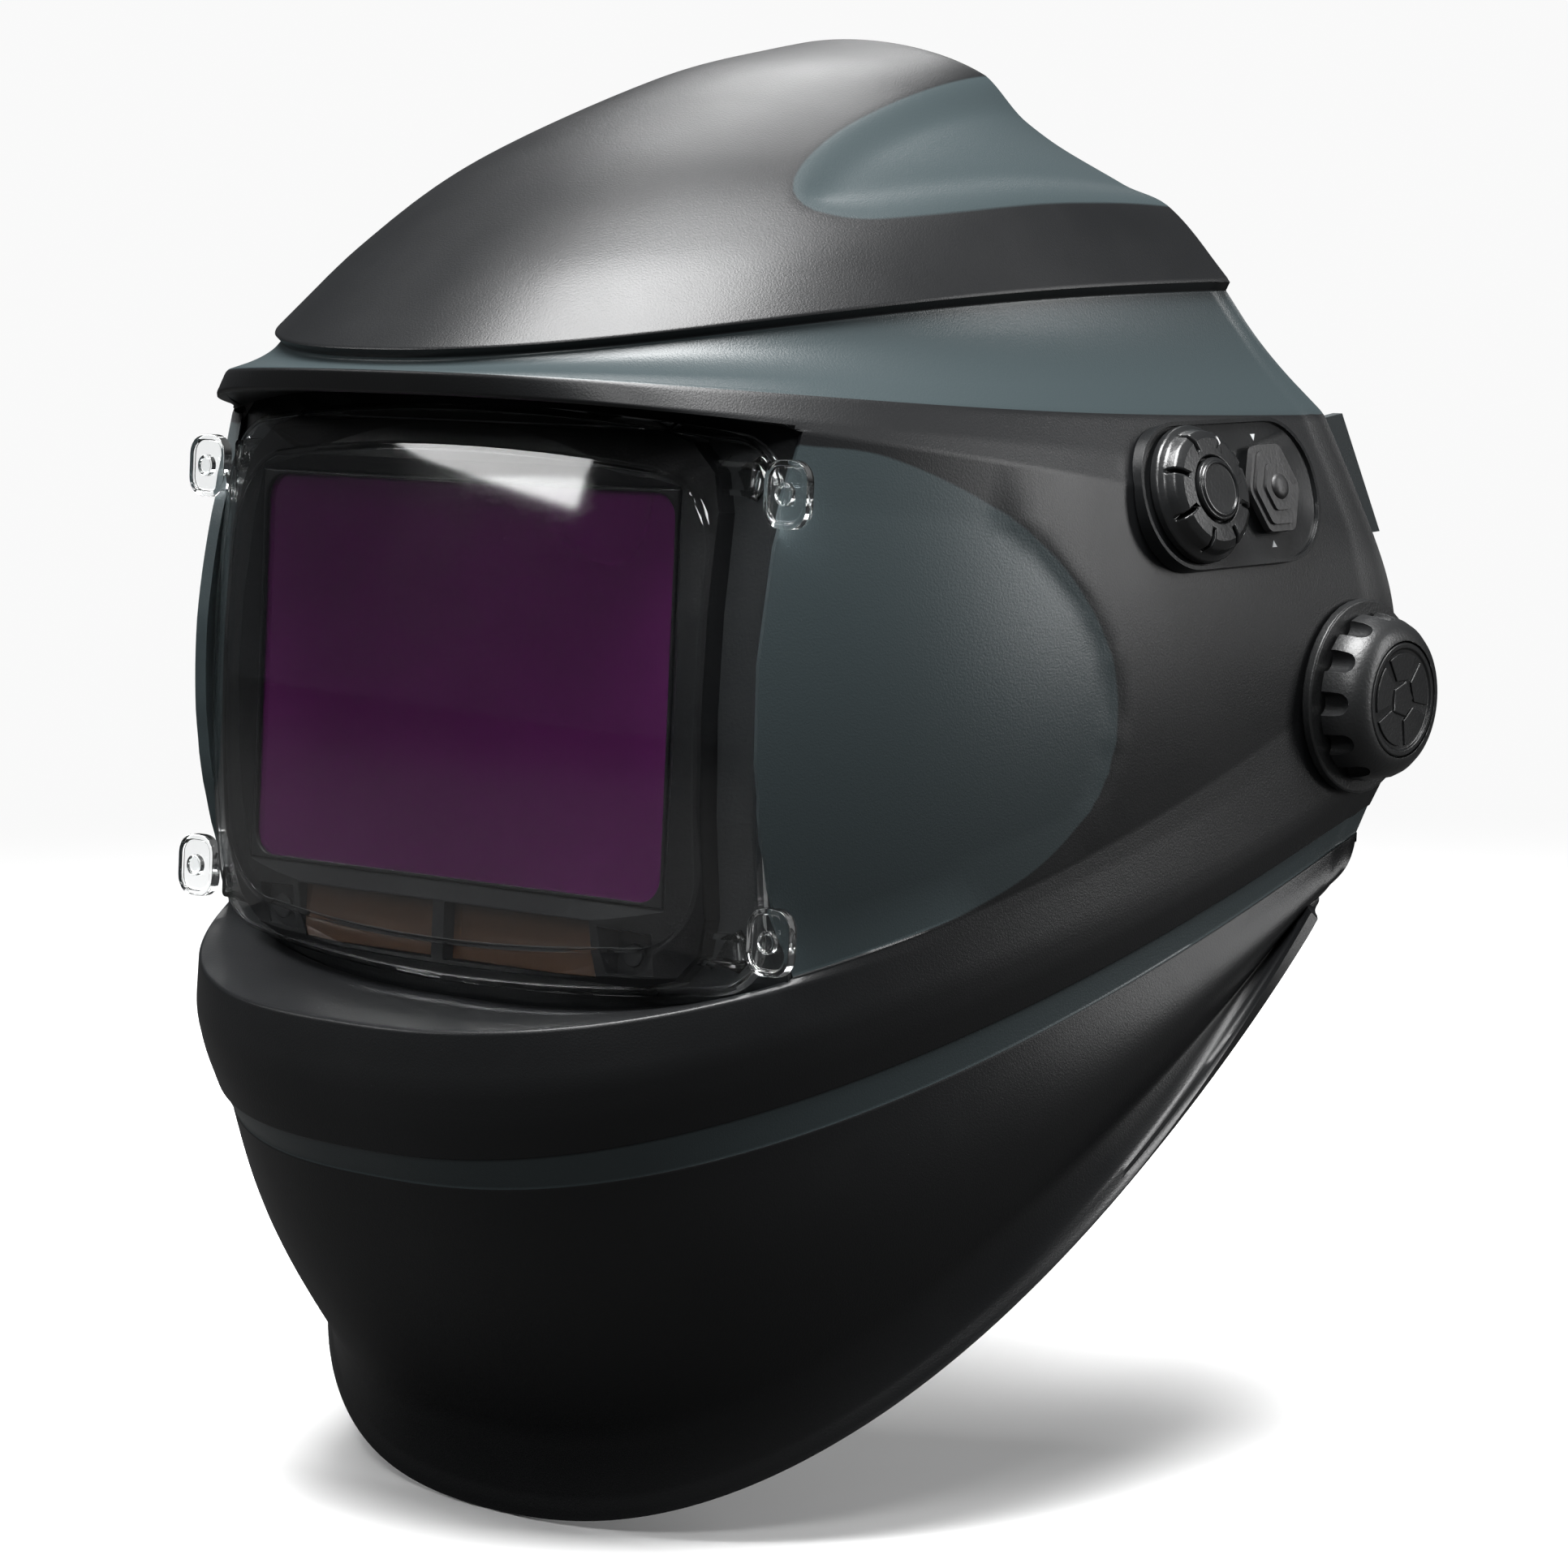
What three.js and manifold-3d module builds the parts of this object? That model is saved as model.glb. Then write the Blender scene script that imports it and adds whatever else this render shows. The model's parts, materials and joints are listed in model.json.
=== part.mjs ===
// A welding helmet: a moulded shell with a darkening filter cartridge, hung on two pivots from an adjustable
// head harness. Millimetres, +Z up. The origin is midway between the two pivots, the face looks along -Y and
// the wearer's left side is +X.
import * as THREE from "three";
import { mergeVertices } from "three/addons/utils/BufferGeometryUtils.js";
import Module from "manifold-3d";

const wasm = await Module();
wasm.setup();

// ---- driving dimensions ----
const gap = 0.3; // between fixed pieces that rest on each other
const running = 0.5; // between pieces that move past each other
const wall = 2.4; // shell thickness
const halfWidth = 114; // of the shell at the pivots
const crownRear = { y: -46, z: 148 }; // the crown's rear edge on the centre line
const chinRim = { y: -164.5, z: -173.5 }; // the lower rim on the centre line
const columnsFront = 6; // surface cells from the centre line to the window's side
const columnsSide = 10; // and from there to the rear edge
const crownRows = 7; // surface cells over the crown

// The filter cartridge and what is stacked on it, in a frame tilted with the filter: Y runs back, Z up.
const filterCentre = { y: -170.2, z: 9.1 };
const filterTilt = THREE.MathUtils.degToRad(3.9); // lower edge forward
const view = { width: 120, height: 84 }; // clear view
const housing = {
  half: view.width / 2 + 10, top: view.height / 2 + 12.6, bottom: view.height / 2 + 18, bow: 0, radius: 16,
  front: -4, back: 14,
};
const glass = { edge: 3, thick: 3 }; // edge: how far it runs in behind the view on each side
const lens = {
  half: housing.half + 11, top: housing.top - 1.1, bottom: housing.bottom - 1, bow: 5.5, radius: 12, wall: 2,
  front: -13.8, sideRise: 11.8, topRise: 5.1, skirt: 7, // rise: from its middle back to its edges
};
const windowHalf = lens.half + 3; // half-width of the shell's window
const holder = { margin: 7, thick: 2 }; // margin: how far it runs out past the lens
const tab = { reach: 11.5, height: 14, thick: 2.5, up: lens.top - 10.5, down: 11.5 - lens.bottom, pip: 2.2 };
// Solar cells.
const cell = {
  width: view.width / 2 - 19, height: 11.6, thick: 2, depth: 5, drop: housing.bottom - 7.1, apart: 4,
};
const sensor = { x: cell.width + 11, width: 14, height: 10.6, depth: 5.4, radius: 2.6, thick: 1 };
const board = { width: 88, height: 13, thick: 1.6, front: 2.5 };
const innerPlate = { thick: 1.2, front: 6 };
// The opening of the frame that a magnifying lens seats on.
const magnifier = { width: view.width - 10, height: view.height - 10, radius: 5, thick: 3 };
const tray = {
  x: housing.half - 28, width: 18.6, height: 18, thick: 3.6, front: 10, rim: 0.7, coin: 8, coinThick: 2,
};

// Pivots, the same on both sides.
const boltRadius = 4;
const boltHead = { radius: 8, thick: 2.6 };
const knobRadius = 19;
const knob = {
  base: knobRadius, top: knobRadius - 1.8, height: 9.8, flutes: 12, flute: 2.7, cap: knobRadius - 6.1,
  bury: 2, bore: boltRadius + gap,
};
const flange = { radius: knob.base + 3, thick: 2.4 };
const arm = {
  inner: halfWidth - 25, thick: 3, length: 76, height: 30, boss: 3, bosses: [[-30, 10], [11.5, 11.8]],
};
const slider = { length: 30, height: 20, thick: 4, hub: 9 };
const travel = 10; // distance adjustment, each way

// Controls on the left side.
const dialRadius = 15.1;
const dial = {
  along: 0.6 - dialRadius, skirt: dialRadius, top: dialRadius - 1.4, height: 6.5, lobes: 8, groove: 0.9,
  cap: 7.1, well: 1.9, sleeve: 4.2, stem: 2.2, travel: 0.8,
};
const button = { along: 12.5, stem: 4.5, travel: 1.2, steps: [[9.7, 1.4], [8.2, 0.7], [5.2, 0.6]] };
const panel = {
  y: -45, z: 47.3, length: 4 * dialRadius + 4.6, height: 2 * dialRadius + 2.3, radius: dialRadius + 0.4,
  proud: 2.2, rim: 0.9, recess: 0.8,
};
const controlBox = { depth: 13, floor: 1.6, switch: 3.4, margin: 3 };
const flapFront = panel.y + panel.length / 2 - 4.5;
const flap = {
  x: halfWidth - 13.5, thick: 2.5, outline: [[flapFront, 34], [27, 35.3], [10.5, 63], [flapFront, 60]],
};

// Head harness. The band's outline has straight sides between two rounded ends.
const head = {
  half: halfWidth - 35, square: 2.2,
  front: { side: -1, y: -25, depth: 73 }, rear: { side: 1, y: 50, depth: 34 },
  level: 12, fall: 0.3, // height at the pivots and drop per millimetre to the rear
  bandEnd: 40, cradleEnd: 26,
};
const band = { thick: 1.8, height: 24 };
const cradle = { thick: 2, height: 20 };
const pad = { thick: 7, height: 34, turn: 62, rear: 5 };
const strap = { thick: 1.6, width: 20, y: -10, foot: 6, spring: 32, top: 119, peg: 2.5 };
const ratchet = {
  width: 44, depth: 10, height: 34, skin: 1.6, pinion: 6, axle: 3, radius: 16, tall: 11, grips: 12,
};

// ---- materials ----
function paint(color, roughness, metalness = 0) {
  return new THREE.MeshStandardMaterial({ color, roughness, metalness });
}
const materials = {
  shell: paint(0x17181a, 0.5),
  plastic: paint(0x1b1c1e, 0.55),
  clear: new THREE.MeshStandardMaterial({
    color: 0xdfe6ea, roughness: 0.05, transparent: true, opacity: 0.3,
  }),
  filter: paint(0x2b0d2a, 0.1),
  cell: paint(0x2a1d12, 0.3),
  board: paint(0x1f5a33, 0.5),
  rubber: paint(0x141414, 0.8),
  strap: paint(0x232427, 0.5),
  foam: paint(0x2f3033, 0.95),
  metal: paint(0xb4b6b8, 0.35, 1),
};

// ---- solids ----
function solid(geometry) {
  const g = geometry.clone();
  g.deleteAttribute("normal");
  g.deleteAttribute("uv");
  const merged = mergeVertices(g, 1e-3);
  return new wasm.Manifold(
    new wasm.Mesh({
      numProp: 3,
      vertProperties: new Float32Array(merged.attributes.position.array),
      triVerts: new Uint32Array(merged.index.array),
    }),
  );
}

function geometryOf(manifold) {
  const m = manifold.getMesh();
  const g = new THREE.BufferGeometry();
  g.setAttribute("position", new THREE.BufferAttribute(new Float32Array(m.vertProperties), 3));
  g.setIndex(new THREE.BufferAttribute(new Uint32Array(m.triVerts), 1));
  return g;
}

function join(...geometries) {
  return geometryOf(geometries.map(solid).reduce((a, b) => a.add(b)));
}

function cut(geometry, ...cutters) {
  return geometryOf(cutters.map(solid).reduce((a, b) => a.subtract(b), solid(geometry)));
}

// The piece of a solid that lies furthest out along +X or -X.
function outermost(manifold, side) {
  const reach = (body) => Math.max(...[0, 1].map((i) => side * body.boundingBox()[i ? "max" : "min"][0]));
  return manifold.decompose().sort((a, b) => reach(b) - reach(a))[0];
}

// A closed surface from a list of points and a list of faces.
function surface(points, faces) {
  const g = new THREE.BufferGeometry();
  g.setAttribute("position", new THREE.Float32BufferAttribute(points.flatMap((p) => [p.x, p.y, p.z]), 3));
  g.setIndex(faces.flat());
  return g;
}

// A closed surface over loops with equal counts, each running anticlockwise seen from where the loops start:
// closed by fans to two end points, or joined end to end into a ring.
function skin(loops, ends) {
  const points = loops.flat();
  const count = loops[0].length;
  const faces = [];
  const bridge = (a, b) => {
    for (let i = 0; i < count; i++) {
      const j = (i + 1) % count;
      faces.push([a + i, b + i, b + j], [a + i, b + j, a + j]);
    }
  };
  const lastLoop = (loops.length - 1) * count;
  for (let k = 0; k < lastLoop; k += count) bridge(k, k + count);
  if (!ends) bridge(lastLoop, 0);
  for (let i = 0; ends && i < count; i++) {
    const j = (i + 1) % count;
    const [first, last] = [points.length, points.length + 1];
    faces.push([first, i, j], [last, lastLoop + j, lastLoop + i]);
  }
  return surface([...points, ...(ends ?? [])], faces);
}

// A flat strip along a path: `across` is the direction of its width, and its thickness is added outwards.
function ribbon(path, width, thickness, across) {
  const half = across.clone().multiplyScalar(width / 2);
  const loops = path.map((p, i) => {
    const along = (path[i + 1] ?? p).clone().sub(path[i - 1] ?? p);
    const out = along.cross(across).setLength(thickness);
    const [low, high] = [p.clone().sub(half), p.clone().add(half)];
    return [low, low.clone().add(out), high.clone().add(out), high];
  });
  const middle = (loop) => loop[0].clone().lerp(loop[2], 0.5);
  return skin(loops, [middle(loops[0]), middle(loops.at(-1))]);
}

function mirrored(geometry) {
  return geometryOf(solid(geometry).mirror([1, 0, 0]));
}

function box(width, depth, height) {
  return new THREE.BoxGeometry(width, depth, height);
}

// A tapered opening from one rectangle at `front` to another at `back`.
function taper(front, back) {
  const corners = [[-1, -1], [1, -1], [1, 1], [-1, 1]];
  const loops = [front, back].map(({ y, width, height }) =>
    corners.map(([i, k]) => new THREE.Vector3((i * width) / 2, y, (k * height) / 2)));
  return skin(loops, [new THREE.Vector3(0, front.y, 0), new THREE.Vector3(0, back.y, 0)]);
}

// An outline whose upper and lower edges bow away from its corners. They all have the same number of points.
function bowedOutline({ half, top, bottom, bow, radius }) {
  const points = [];
  const [w, t, b] = [half - radius, top - radius, radius - bottom];
  const line = (from, to, count) => {
    const end = new THREE.Vector2(...to);
    for (let i = 0; i < count; i++) points.push(new THREE.Vector2(...from).lerp(end, i / count));
  };
  const arc = (x, z, quarter) => {
    for (let i = 0; i < 3; i++) {
      const angle = ((quarter + i / 3) * Math.PI) / 2;
      points.push(new THREE.Vector2(x + radius * Math.cos(angle), z + radius * Math.sin(angle)));
    }
  };
  line([-w, -bottom], [w, -bottom], 6);
  arc(w, b, 3);
  line([half, b], [half, t], 4);
  arc(w, t, 0);
  line([w, top], [-w, top], 6);
  arc(-w, t, 1);
  line([-half, t], [-half, b], 4);
  arc(-w, b, 2);
  const middle = (top - bottom) / 2;
  for (const p of points) p.y += ((p.y - middle) / (top - middle)) * bow * (1 - (p.x / half) ** 2);
  return points;
}

const shapeOf = (outline) => new THREE.Shape(outline);
const largest = (manifold) => manifold.decompose().sort((a, b) => b.volume() - a.volume())[0];

function roundedRectangle(width, height, radius, centreY = 0) {
  const [w, h] = [width / 2, height / 2];
  const s = new THREE.Shape();
  s.moveTo(-w + radius, centreY - h);
  s.lineTo(w - radius, centreY - h);
  s.absarc(w - radius, centreY - h + radius, radius, -Math.PI / 2, 0);
  s.lineTo(w, centreY + h - radius);
  s.absarc(w - radius, centreY + h - radius, radius, 0, Math.PI / 2);
  s.lineTo(-w + radius, centreY + h);
  s.absarc(-w + radius, centreY + h - radius, radius, Math.PI / 2, Math.PI);
  s.lineTo(-w, centreY - h + radius);
  s.absarc(-w + radius, centreY - h + radius, radius, Math.PI, 1.5 * Math.PI);
  return s;
}

// A plate whose outline lies in the XZ plane, between two depths along Y.
function plateXZ(shape, front, back, curveSegments = 6) {
  const g = new THREE.ExtrudeGeometry(shape, { depth: back - front, bevelEnabled: false, curveSegments });
  return g.rotateX(Math.PI / 2).translate(0, back, 0);
}

// A plate whose outline lies in the YZ plane, between two places along X.
function plateYZ(shape, inner, outer, curveSegments = 6) {
  const g = new THREE.ExtrudeGeometry(shape, { depth: outer - inner, bevelEnabled: false, curveSegments });
  return g.rotateX(Math.PI / 2).rotateZ(Math.PI / 2).translate(inner, 0, 0);
}

// A turned piece on the X axis: the profile is a list of [radius, x].
function turnedX(profile, segments = 32) {
  const points = profile.map(([r, x]) => new THREE.Vector2(r, x));
  return new THREE.LatheGeometry(points, segments).rotateZ(-Math.PI / 2);
}

function rodX(radius, from, to, segments = 24) {
  return new THREE.CylinderGeometry(radius, radius, to - from, segments)
    .rotateZ(-Math.PI / 2)
    .translate((from + to) / 2, 0, 0);
}

function rodY(radius, from, to, segments = 24) {
  return new THREE.CylinderGeometry(radius, radius, to - from, segments).translate(0, (from + to) / 2, 0);
}

// ---- the shell's surface ----
// A contour crosses the centre line at `front`, ends at `end` on the rear edge and lies in one plane between
// them. `sweep` is how far round it turns, 90 degrees unless given, `square` how square its corner is, and
// `sag` how far its middle drops below that plane. `sill` is where the window's edge crosses the centre line.
const edgeA = new THREE.Vector3(38, -38.5, 139);
const contours = {
  crown: { front: crownRear, end: edgeA, sweep: 62, square: 2 },
  crownEdge: {
    front: { y: -198, z: 80 }, end: { x: halfWidth - 24, y: -16, z: 93 },
    square: 2.35, sag: -3.5,
  },
  bandTop: {
    front: { y: -196, z: 78.5 }, end: { x: halfWidth - 26, y: -15.5, z: 91 },
    square: 2.35, sag: -3.5,
  },
  bandEdge: { front: { y: -200, z: 76 }, end: { x: halfWidth - 10, y: 1, z: 63 }, square: 2.7, sag: 2.5 },
  browEdge: { front: { y: -198.5, z: 71.5 }, end: { x: halfWidth - 6, y: 6, z: 49 }, square: 2.85, sag: 1 },
  windowTop: {
    front: { y: -196, z: 70.5 }, end: { x: halfWidth - 3, y: 11, z: 36 },
    square: 2.9, sill: -168,
  },
  windowBottom: {
    front: { y: -205, z: -58.5 }, end: { x: halfWidth, y: 17, z: 10 },
    square: 2.65, sag: 4, sill: -174,
  },
  ledgeTop: { front: { y: -210, z: -58.5 }, end: { x: halfWidth, y: 17, z: 2 }, square: 2.6, sag: 5 },
  ledgeBottom: { front: { y: -210, z: -70.5 }, end: { x: halfWidth, y: 16, z: -14 }, square: 2.65 },
  stripeTop: { front: { y: -206, z: -86.5 }, end: { x: halfWidth - 1.5, y: 9, z: -26 }, square: 2.55 },
  stripeBottom: { front: { y: -200, z: -93.5 }, end: { x: halfWidth - 2, y: 5, z: -32 }, square: 2.6 },
  valley: {
    front: { y: -168.5, z: -153.5 }, end: { x: halfWidth - 2.5, y: -12, z: -45 },
    square: 2.5, sag: -4,
  },
  rim: { front: chinRim, end: { x: halfWidth + 3, y: -20, z: -47 }, square: 2.35, sag: 0 },
};

// Contours between two others: their values in proportion, with the surface bowed out by `bulge` and its
// corner squarer by `squarer` halfway.
function between(a, b, share, bulge = 0, squarer = 0) {
  const mix = (p, q) => p + (q - p) * share;
  const out = bulge * Math.sin(Math.PI * share);
  return {
    front: { y: mix(a.front.y, b.front.y) - out, z: mix(a.front.z, b.front.z) },
    end: { x: mix(a.end.x, b.end.x) + out, y: mix(a.end.y, b.end.y), z: mix(a.end.z, b.end.z) },
    sweep: mix(a.sweep ?? 90, b.sweep ?? 90),
    square: mix(a.square, b.square) + squarer * Math.sin(Math.PI * share),
    sag: mix(a.sag ?? 0, b.sag ?? 0),
  };
}

// The crown is guided by its centre line and by its rear edge.
const crownLine = new THREE.CatmullRomCurve3([
  new THREE.Vector3(0, crownRear.y, crownRear.z),
  new THREE.Vector3(0, -88, 139.5),
  new THREE.Vector3(0, -140, 120),
  new THREE.Vector3(0, -174, 99.5),
  new THREE.Vector3(0, contours.crownEdge.front.y, contours.crownEdge.front.z),
]);
const crownEnd = contours.crownEdge.end;
const rearLine = new THREE.CatmullRomCurve3([
  edgeA,
  new THREE.Vector3(crownEnd.x - 38, -31, 126),
  new THREE.Vector3(crownEnd.x - 14, -22, 110.5),
  new THREE.Vector3(crownEnd.x, crownEnd.y, crownEnd.z),
]);

function crownContour(share) {
  const [centre, edge] = [crownLine.getPointAt(share), rearLine.getPointAt(share)];
  const { sweep, square, sag } = between(contours.crown, contours.crownEdge, Math.sqrt(share));
  const [front, end] = [{ y: centre.y, z: centre.z }, { x: edge.x, y: edge.y, z: edge.z }];
  return { front, end, sweep, square, sag };
}

function contourPoint(row, share) {
  const last = THREE.MathUtils.degToRad(row.sweep ?? 90);
  const power = 2 / row.square;
  const forward = (angle) => Math.max(0, Math.cos(angle)) ** power;
  const angle = last * share;
  const reach = (1 - forward(angle)) / (1 - forward(last));
  return new THREE.Vector3(
    (row.end.x * Math.sin(angle) ** power) / Math.sin(last) ** power,
    row.front.y + (row.end.y - row.front.y) * reach,
    row.front.z + (row.end.z - row.front.z) * reach - (row.sag ?? 0) * Math.sin(Math.PI * reach),
  );
}

// Points along one half of a contour, evenly spaced up to the window's side and evenly spaced after it.
function halfContour(row) {
  const steps = 600;
  const line = [];
  const length = [0];
  for (let i = 0; i <= steps; i++) {
    const s = i / steps;
    line.push(contourPoint(row, s < 0.5 ? 4 * s ** 3 : 1 - 4 * (1 - s) ** 3));
    if (i) length.push(length[i - 1] + line[i].distanceTo(line[i - 1]));
  }
  const total = length[steps];
  const side = line.findIndex((p) => p.x >= windowHalf);
  const cornerShare = columnsFront / (columnsFront + columnsSide);
  const corner = side < 0 || length[side] > 0.6 * total ? total * (cornerShare + 0.2) : length[side];
  const at = (distance) => {
    const i = Math.max(1, length.findIndex((d) => d >= distance - 1e-9));
    const share = (distance - length[i - 1]) / (length[i] - length[i - 1] || 1);
    return line[i - 1].clone().lerp(line[i], Math.min(1, share));
  };
  const points = [];
  for (let i = 0; i <= columnsFront; i++) points.push(at((corner * i) / columnsFront));
  for (let i = 1; i <= columnsSide; i++) points.push(at(corner + ((total - corner) * i) / columnsSide));
  points[0].x = 0;
  if (row.sill !== undefined) {
    const side = points[columnsFront];
    for (const p of points.slice(0, columnsFront))
      p.y = side.y + (row.sill - side.y) * (1 - (p.x / side.x) ** 2);
  }
  return points;
}

// Every row of the surface from the crown to the rim. Rows marked `inner` also shape the inside.
function shellRows() {
  const c = contours;
  const rows = [];
  const add = (row, inner = true, open = false) => rows.push({ row, inner, open });
  const fill = (a, b, count, bulge = 0, squarer = 0, open = false) => {
    for (let i = 1; i < count; i++) add(between(a, b, i / count, bulge, squarer), true, open);
  };
  for (let i = 0; i < crownRows; i++) add(crownContour(i / crownRows));
  add(c.crownEdge);
  add(c.bandTop, false);
  fill(c.bandTop, c.bandEdge, 3, -2);
  add(c.bandEdge, false);
  add(c.browEdge);
  add(c.windowTop, true, true);
  fill(c.windowTop, c.windowBottom, 5, 1.5, 0.4, true);
  add(c.windowBottom);
  add(c.ledgeTop, false);
  add(c.ledgeBottom);
  fill(c.ledgeBottom, c.stripeTop, 2, 0.5);
  add(c.stripeTop, false);
  add(c.stripeBottom);
  fill(c.stripeBottom, c.valley, 4, 3);
  add(c.valley);
  fill(c.valley, c.rim, 2, -1);
  add(c.rim);
  return rows;
}

function shellSurface() {
  const rows = shellRows();
  const columns = columnsFront + columnsSide;
  const width = 2 * columns + 1;
  const grid = rows.map(({ row }) => {
    const half = halfContour(row);
    const mirrored = half.slice(1).reverse().map((p) => new THREE.Vector3(-p.x, p.y, p.z));
    return [...mirrored, ...half];
  });
  const window = (r, i) => rows[r].open && Math.abs(i + 0.5 - columns) < columnsFront;
  const innerRows = rows.map((_, r) => r).filter((r) => rows[r].inner);

  // Normals of the inner rows' own surface, so that close outer rows don't fold the inside.
  const normals = new Map(innerRows.map((r) => [r, grid[r].map(() => new THREE.Vector3())]));
  const cells = (list, visit) => {
    for (let k = 1; k < list.length; k++)
      for (let i = 0; i < width - 1; i++) if (!window(list[k - 1], i)) visit(list[k - 1], list[k], i);
  };
  cells(innerRows, (top, low, i) => {
    const across = grid[top][i + 1].clone().sub(grid[low][i]);
    const along = grid[low][i + 1].clone().sub(grid[top][i]);
    const n = along.cross(across).normalize();
    for (const [r, j] of [[top, i], [top, i + 1], [low, i], [low, i + 1]]) normals.get(r)[j].add(n);
  });

  const points = [];
  const outer = grid.map((line) => line.map((p) => points.push(p) - 1));
  const inner = new Map(
    innerRows.map((r) => [
      r,
      grid[r].map((p, i) => points.push(p.clone().addScaledVector(normals.get(r)[i].normalize(), -wall)) - 1),
    ]),
  );
  const faces = [];
  const quad = (a, b, c, d) => faces.push([a, b, c], [a, c, d]);
  const all = rows.map((_, r) => r);
  cells(all, (top, low, i) => quad(outer[top][i], outer[low][i], outer[low][i + 1], outer[top][i + 1]));
  cells(innerRows, (top, low, i) => {
    const [t, l] = [inner.get(top), inner.get(low)];
    quad(t[i + 1], l[i + 1], l[i], t[i]);
  });
  // The crown's rear edge and the lower rim.
  const last = rows.length - 1;
  for (let i = 0; i < width - 1; i++) {
    quad(outer[0][i + 1], inner.get(0)[i + 1], inner.get(0)[i], outer[0][i]);
    quad(outer[last][i], inner.get(last)[i], inner.get(last)[i + 1], outer[last][i + 1]);
  }
  // The rear edges and the window's sides, where the inside may have fewer rows than the outside.
  const closeEdge = (column, from, to, turned) => {
    const face = (...f) => faces.push(turned ? f.reverse() : f);
    const kept = innerRows.filter((r) => r >= from && r <= to);
    for (let k = 1; k < kept.length; k++) {
      const [top, low] = [kept[k - 1], kept[k]];
      const hub = inner.get(top)[column];
      for (let r = top; r < low; r++) face(hub, outer[r + 1][column], outer[r][column]);
      face(hub, inner.get(low)[column], outer[low][column]);
    }
  };
  closeEdge(0, 0, last, false);
  closeEdge(width - 1, 0, last, true);
  const top = rows.findIndex((r) => r.open);
  const bottom = rows.findLastIndex((r) => r.open) + 1;
  closeEdge(columns - columnsFront, top, bottom, true);
  closeEdge(columns + columnsFront, top, bottom, false);
  for (let i = columns - columnsFront; i < columns + columnsFront; i++) {
    quad(outer[top][i], inner.get(top)[i], inner.get(top)[i + 1], outer[top][i + 1]);
    quad(outer[bottom][i + 1], inner.get(bottom)[i + 1], inner.get(bottom)[i], outer[bottom][i]);
  }
  return surface(points, faces);
}

// Where a line along X meets the shell's outside, on the left side.
const shellBlank = shellSurface();
const probe = new THREE.Mesh(shellBlank, new THREE.MeshBasicMaterial({ side: THREE.DoubleSide }));
function sideOfShell(y, z) {
  const ray = new THREE.Raycaster(new THREE.Vector3(3 * halfWidth, y, z), new THREE.Vector3(-1, 0, 0));
  return ray.intersectObject(probe)[0].point;
}

// The control panel's own frame: X out of the shell, Y to the rear, its origin on the shell.
function panelMatrix() {
  const [l, h] = [panel.length / 2, panel.height / 2];
  const rear = sideOfShell(panel.y + l, panel.z).sub(sideOfShell(panel.y - l, panel.z)).normalize();
  const rise = sideOfShell(panel.y, panel.z + h).sub(sideOfShell(panel.y, panel.z - h));
  const out = rear.clone().cross(rise).normalize();
  const m = new THREE.Matrix4().makeBasis(out, rear, out.clone().cross(rear));
  return m.setPosition(sideOfShell(panel.y, panel.z));
}
const panelFrame = panelMatrix();
const inPanel = (geometry) => geometry.applyMatrix4(panelFrame);
const panelBore = (radius, along) => inPanel(rodX(radius + running, -20, 20, 16).translate(0, along, 0));
const shellHoles = [
  rodX(boltRadius + running, -2 * halfWidth, 2 * halfWidth),
  panelBore(dial.sleeve, dial.along),
  panelBore(button.stem, button.along),
];
const shellSolid = shellHoles.map(solid).reduce((a, b) => a.subtract(b), solid(shellBlank));

// A solid with the shell taken out of it, moved by the gap along each of the directions in `ways`.
function clearOfShell(geometry, ...ways) {
  return ways.reduce(
    (left, way) => left.subtract(shellSolid.translate(way.map((v) => v * gap))),
    solid(geometry),
  );
}

// ---- the assembly ----
const helmet = new THREE.Group();
function add(name, geometry, material) {
  const m = new THREE.Mesh(geometry, material);
  m.name = name;
  helmet.add(m);
}
const sides = [["left", 1], ["right", -1]];
add("shell", geometryOf(shellSolid), materials.shell);

// ---- filter cartridge ----
const filterFrame = new THREE.Matrix4()
  .makeTranslation(0, filterCentre.y, filterCentre.z)
  .multiply(new THREE.Matrix4().makeRotationX(-filterTilt));
const inFilter = (geometry) => geometry.applyMatrix4(filterFrame);
const grow = (o, by) => ({
  ...o, half: o.half + by, top: o.top + by, bottom: o.bottom + by, radius: Math.max(1, o.radius + by),
});
const lensDepth = (x, z) =>
  lens.front + lens.sideRise * (x / lens.half) ** 2 + lens.topRise * (z / lens.top) ** 2;

// Everything in front of the lens's back face, with the gap behind it.
function lensRoom() {
  const outline = bowedOutline(lens);
  const back = lens.wall + gap;
  const loop = (share, depth) =>
    outline.map((p) => {
      const [x, z] = [p.x * share, p.y * share];
      return new THREE.Vector3(x, depth(x, z), z);
    });
  const far = 3 * lens.front;
  const loops = [1, 0.7, 0.35].map((s) => loop(s, (x, z) => lensDepth(x, z) + back));
  return skin([loop(1, () => far), ...loops],
    [new THREE.Vector3(0, far, 0), new THREE.Vector3(0, lens.front + back, 0)]);
}

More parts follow.
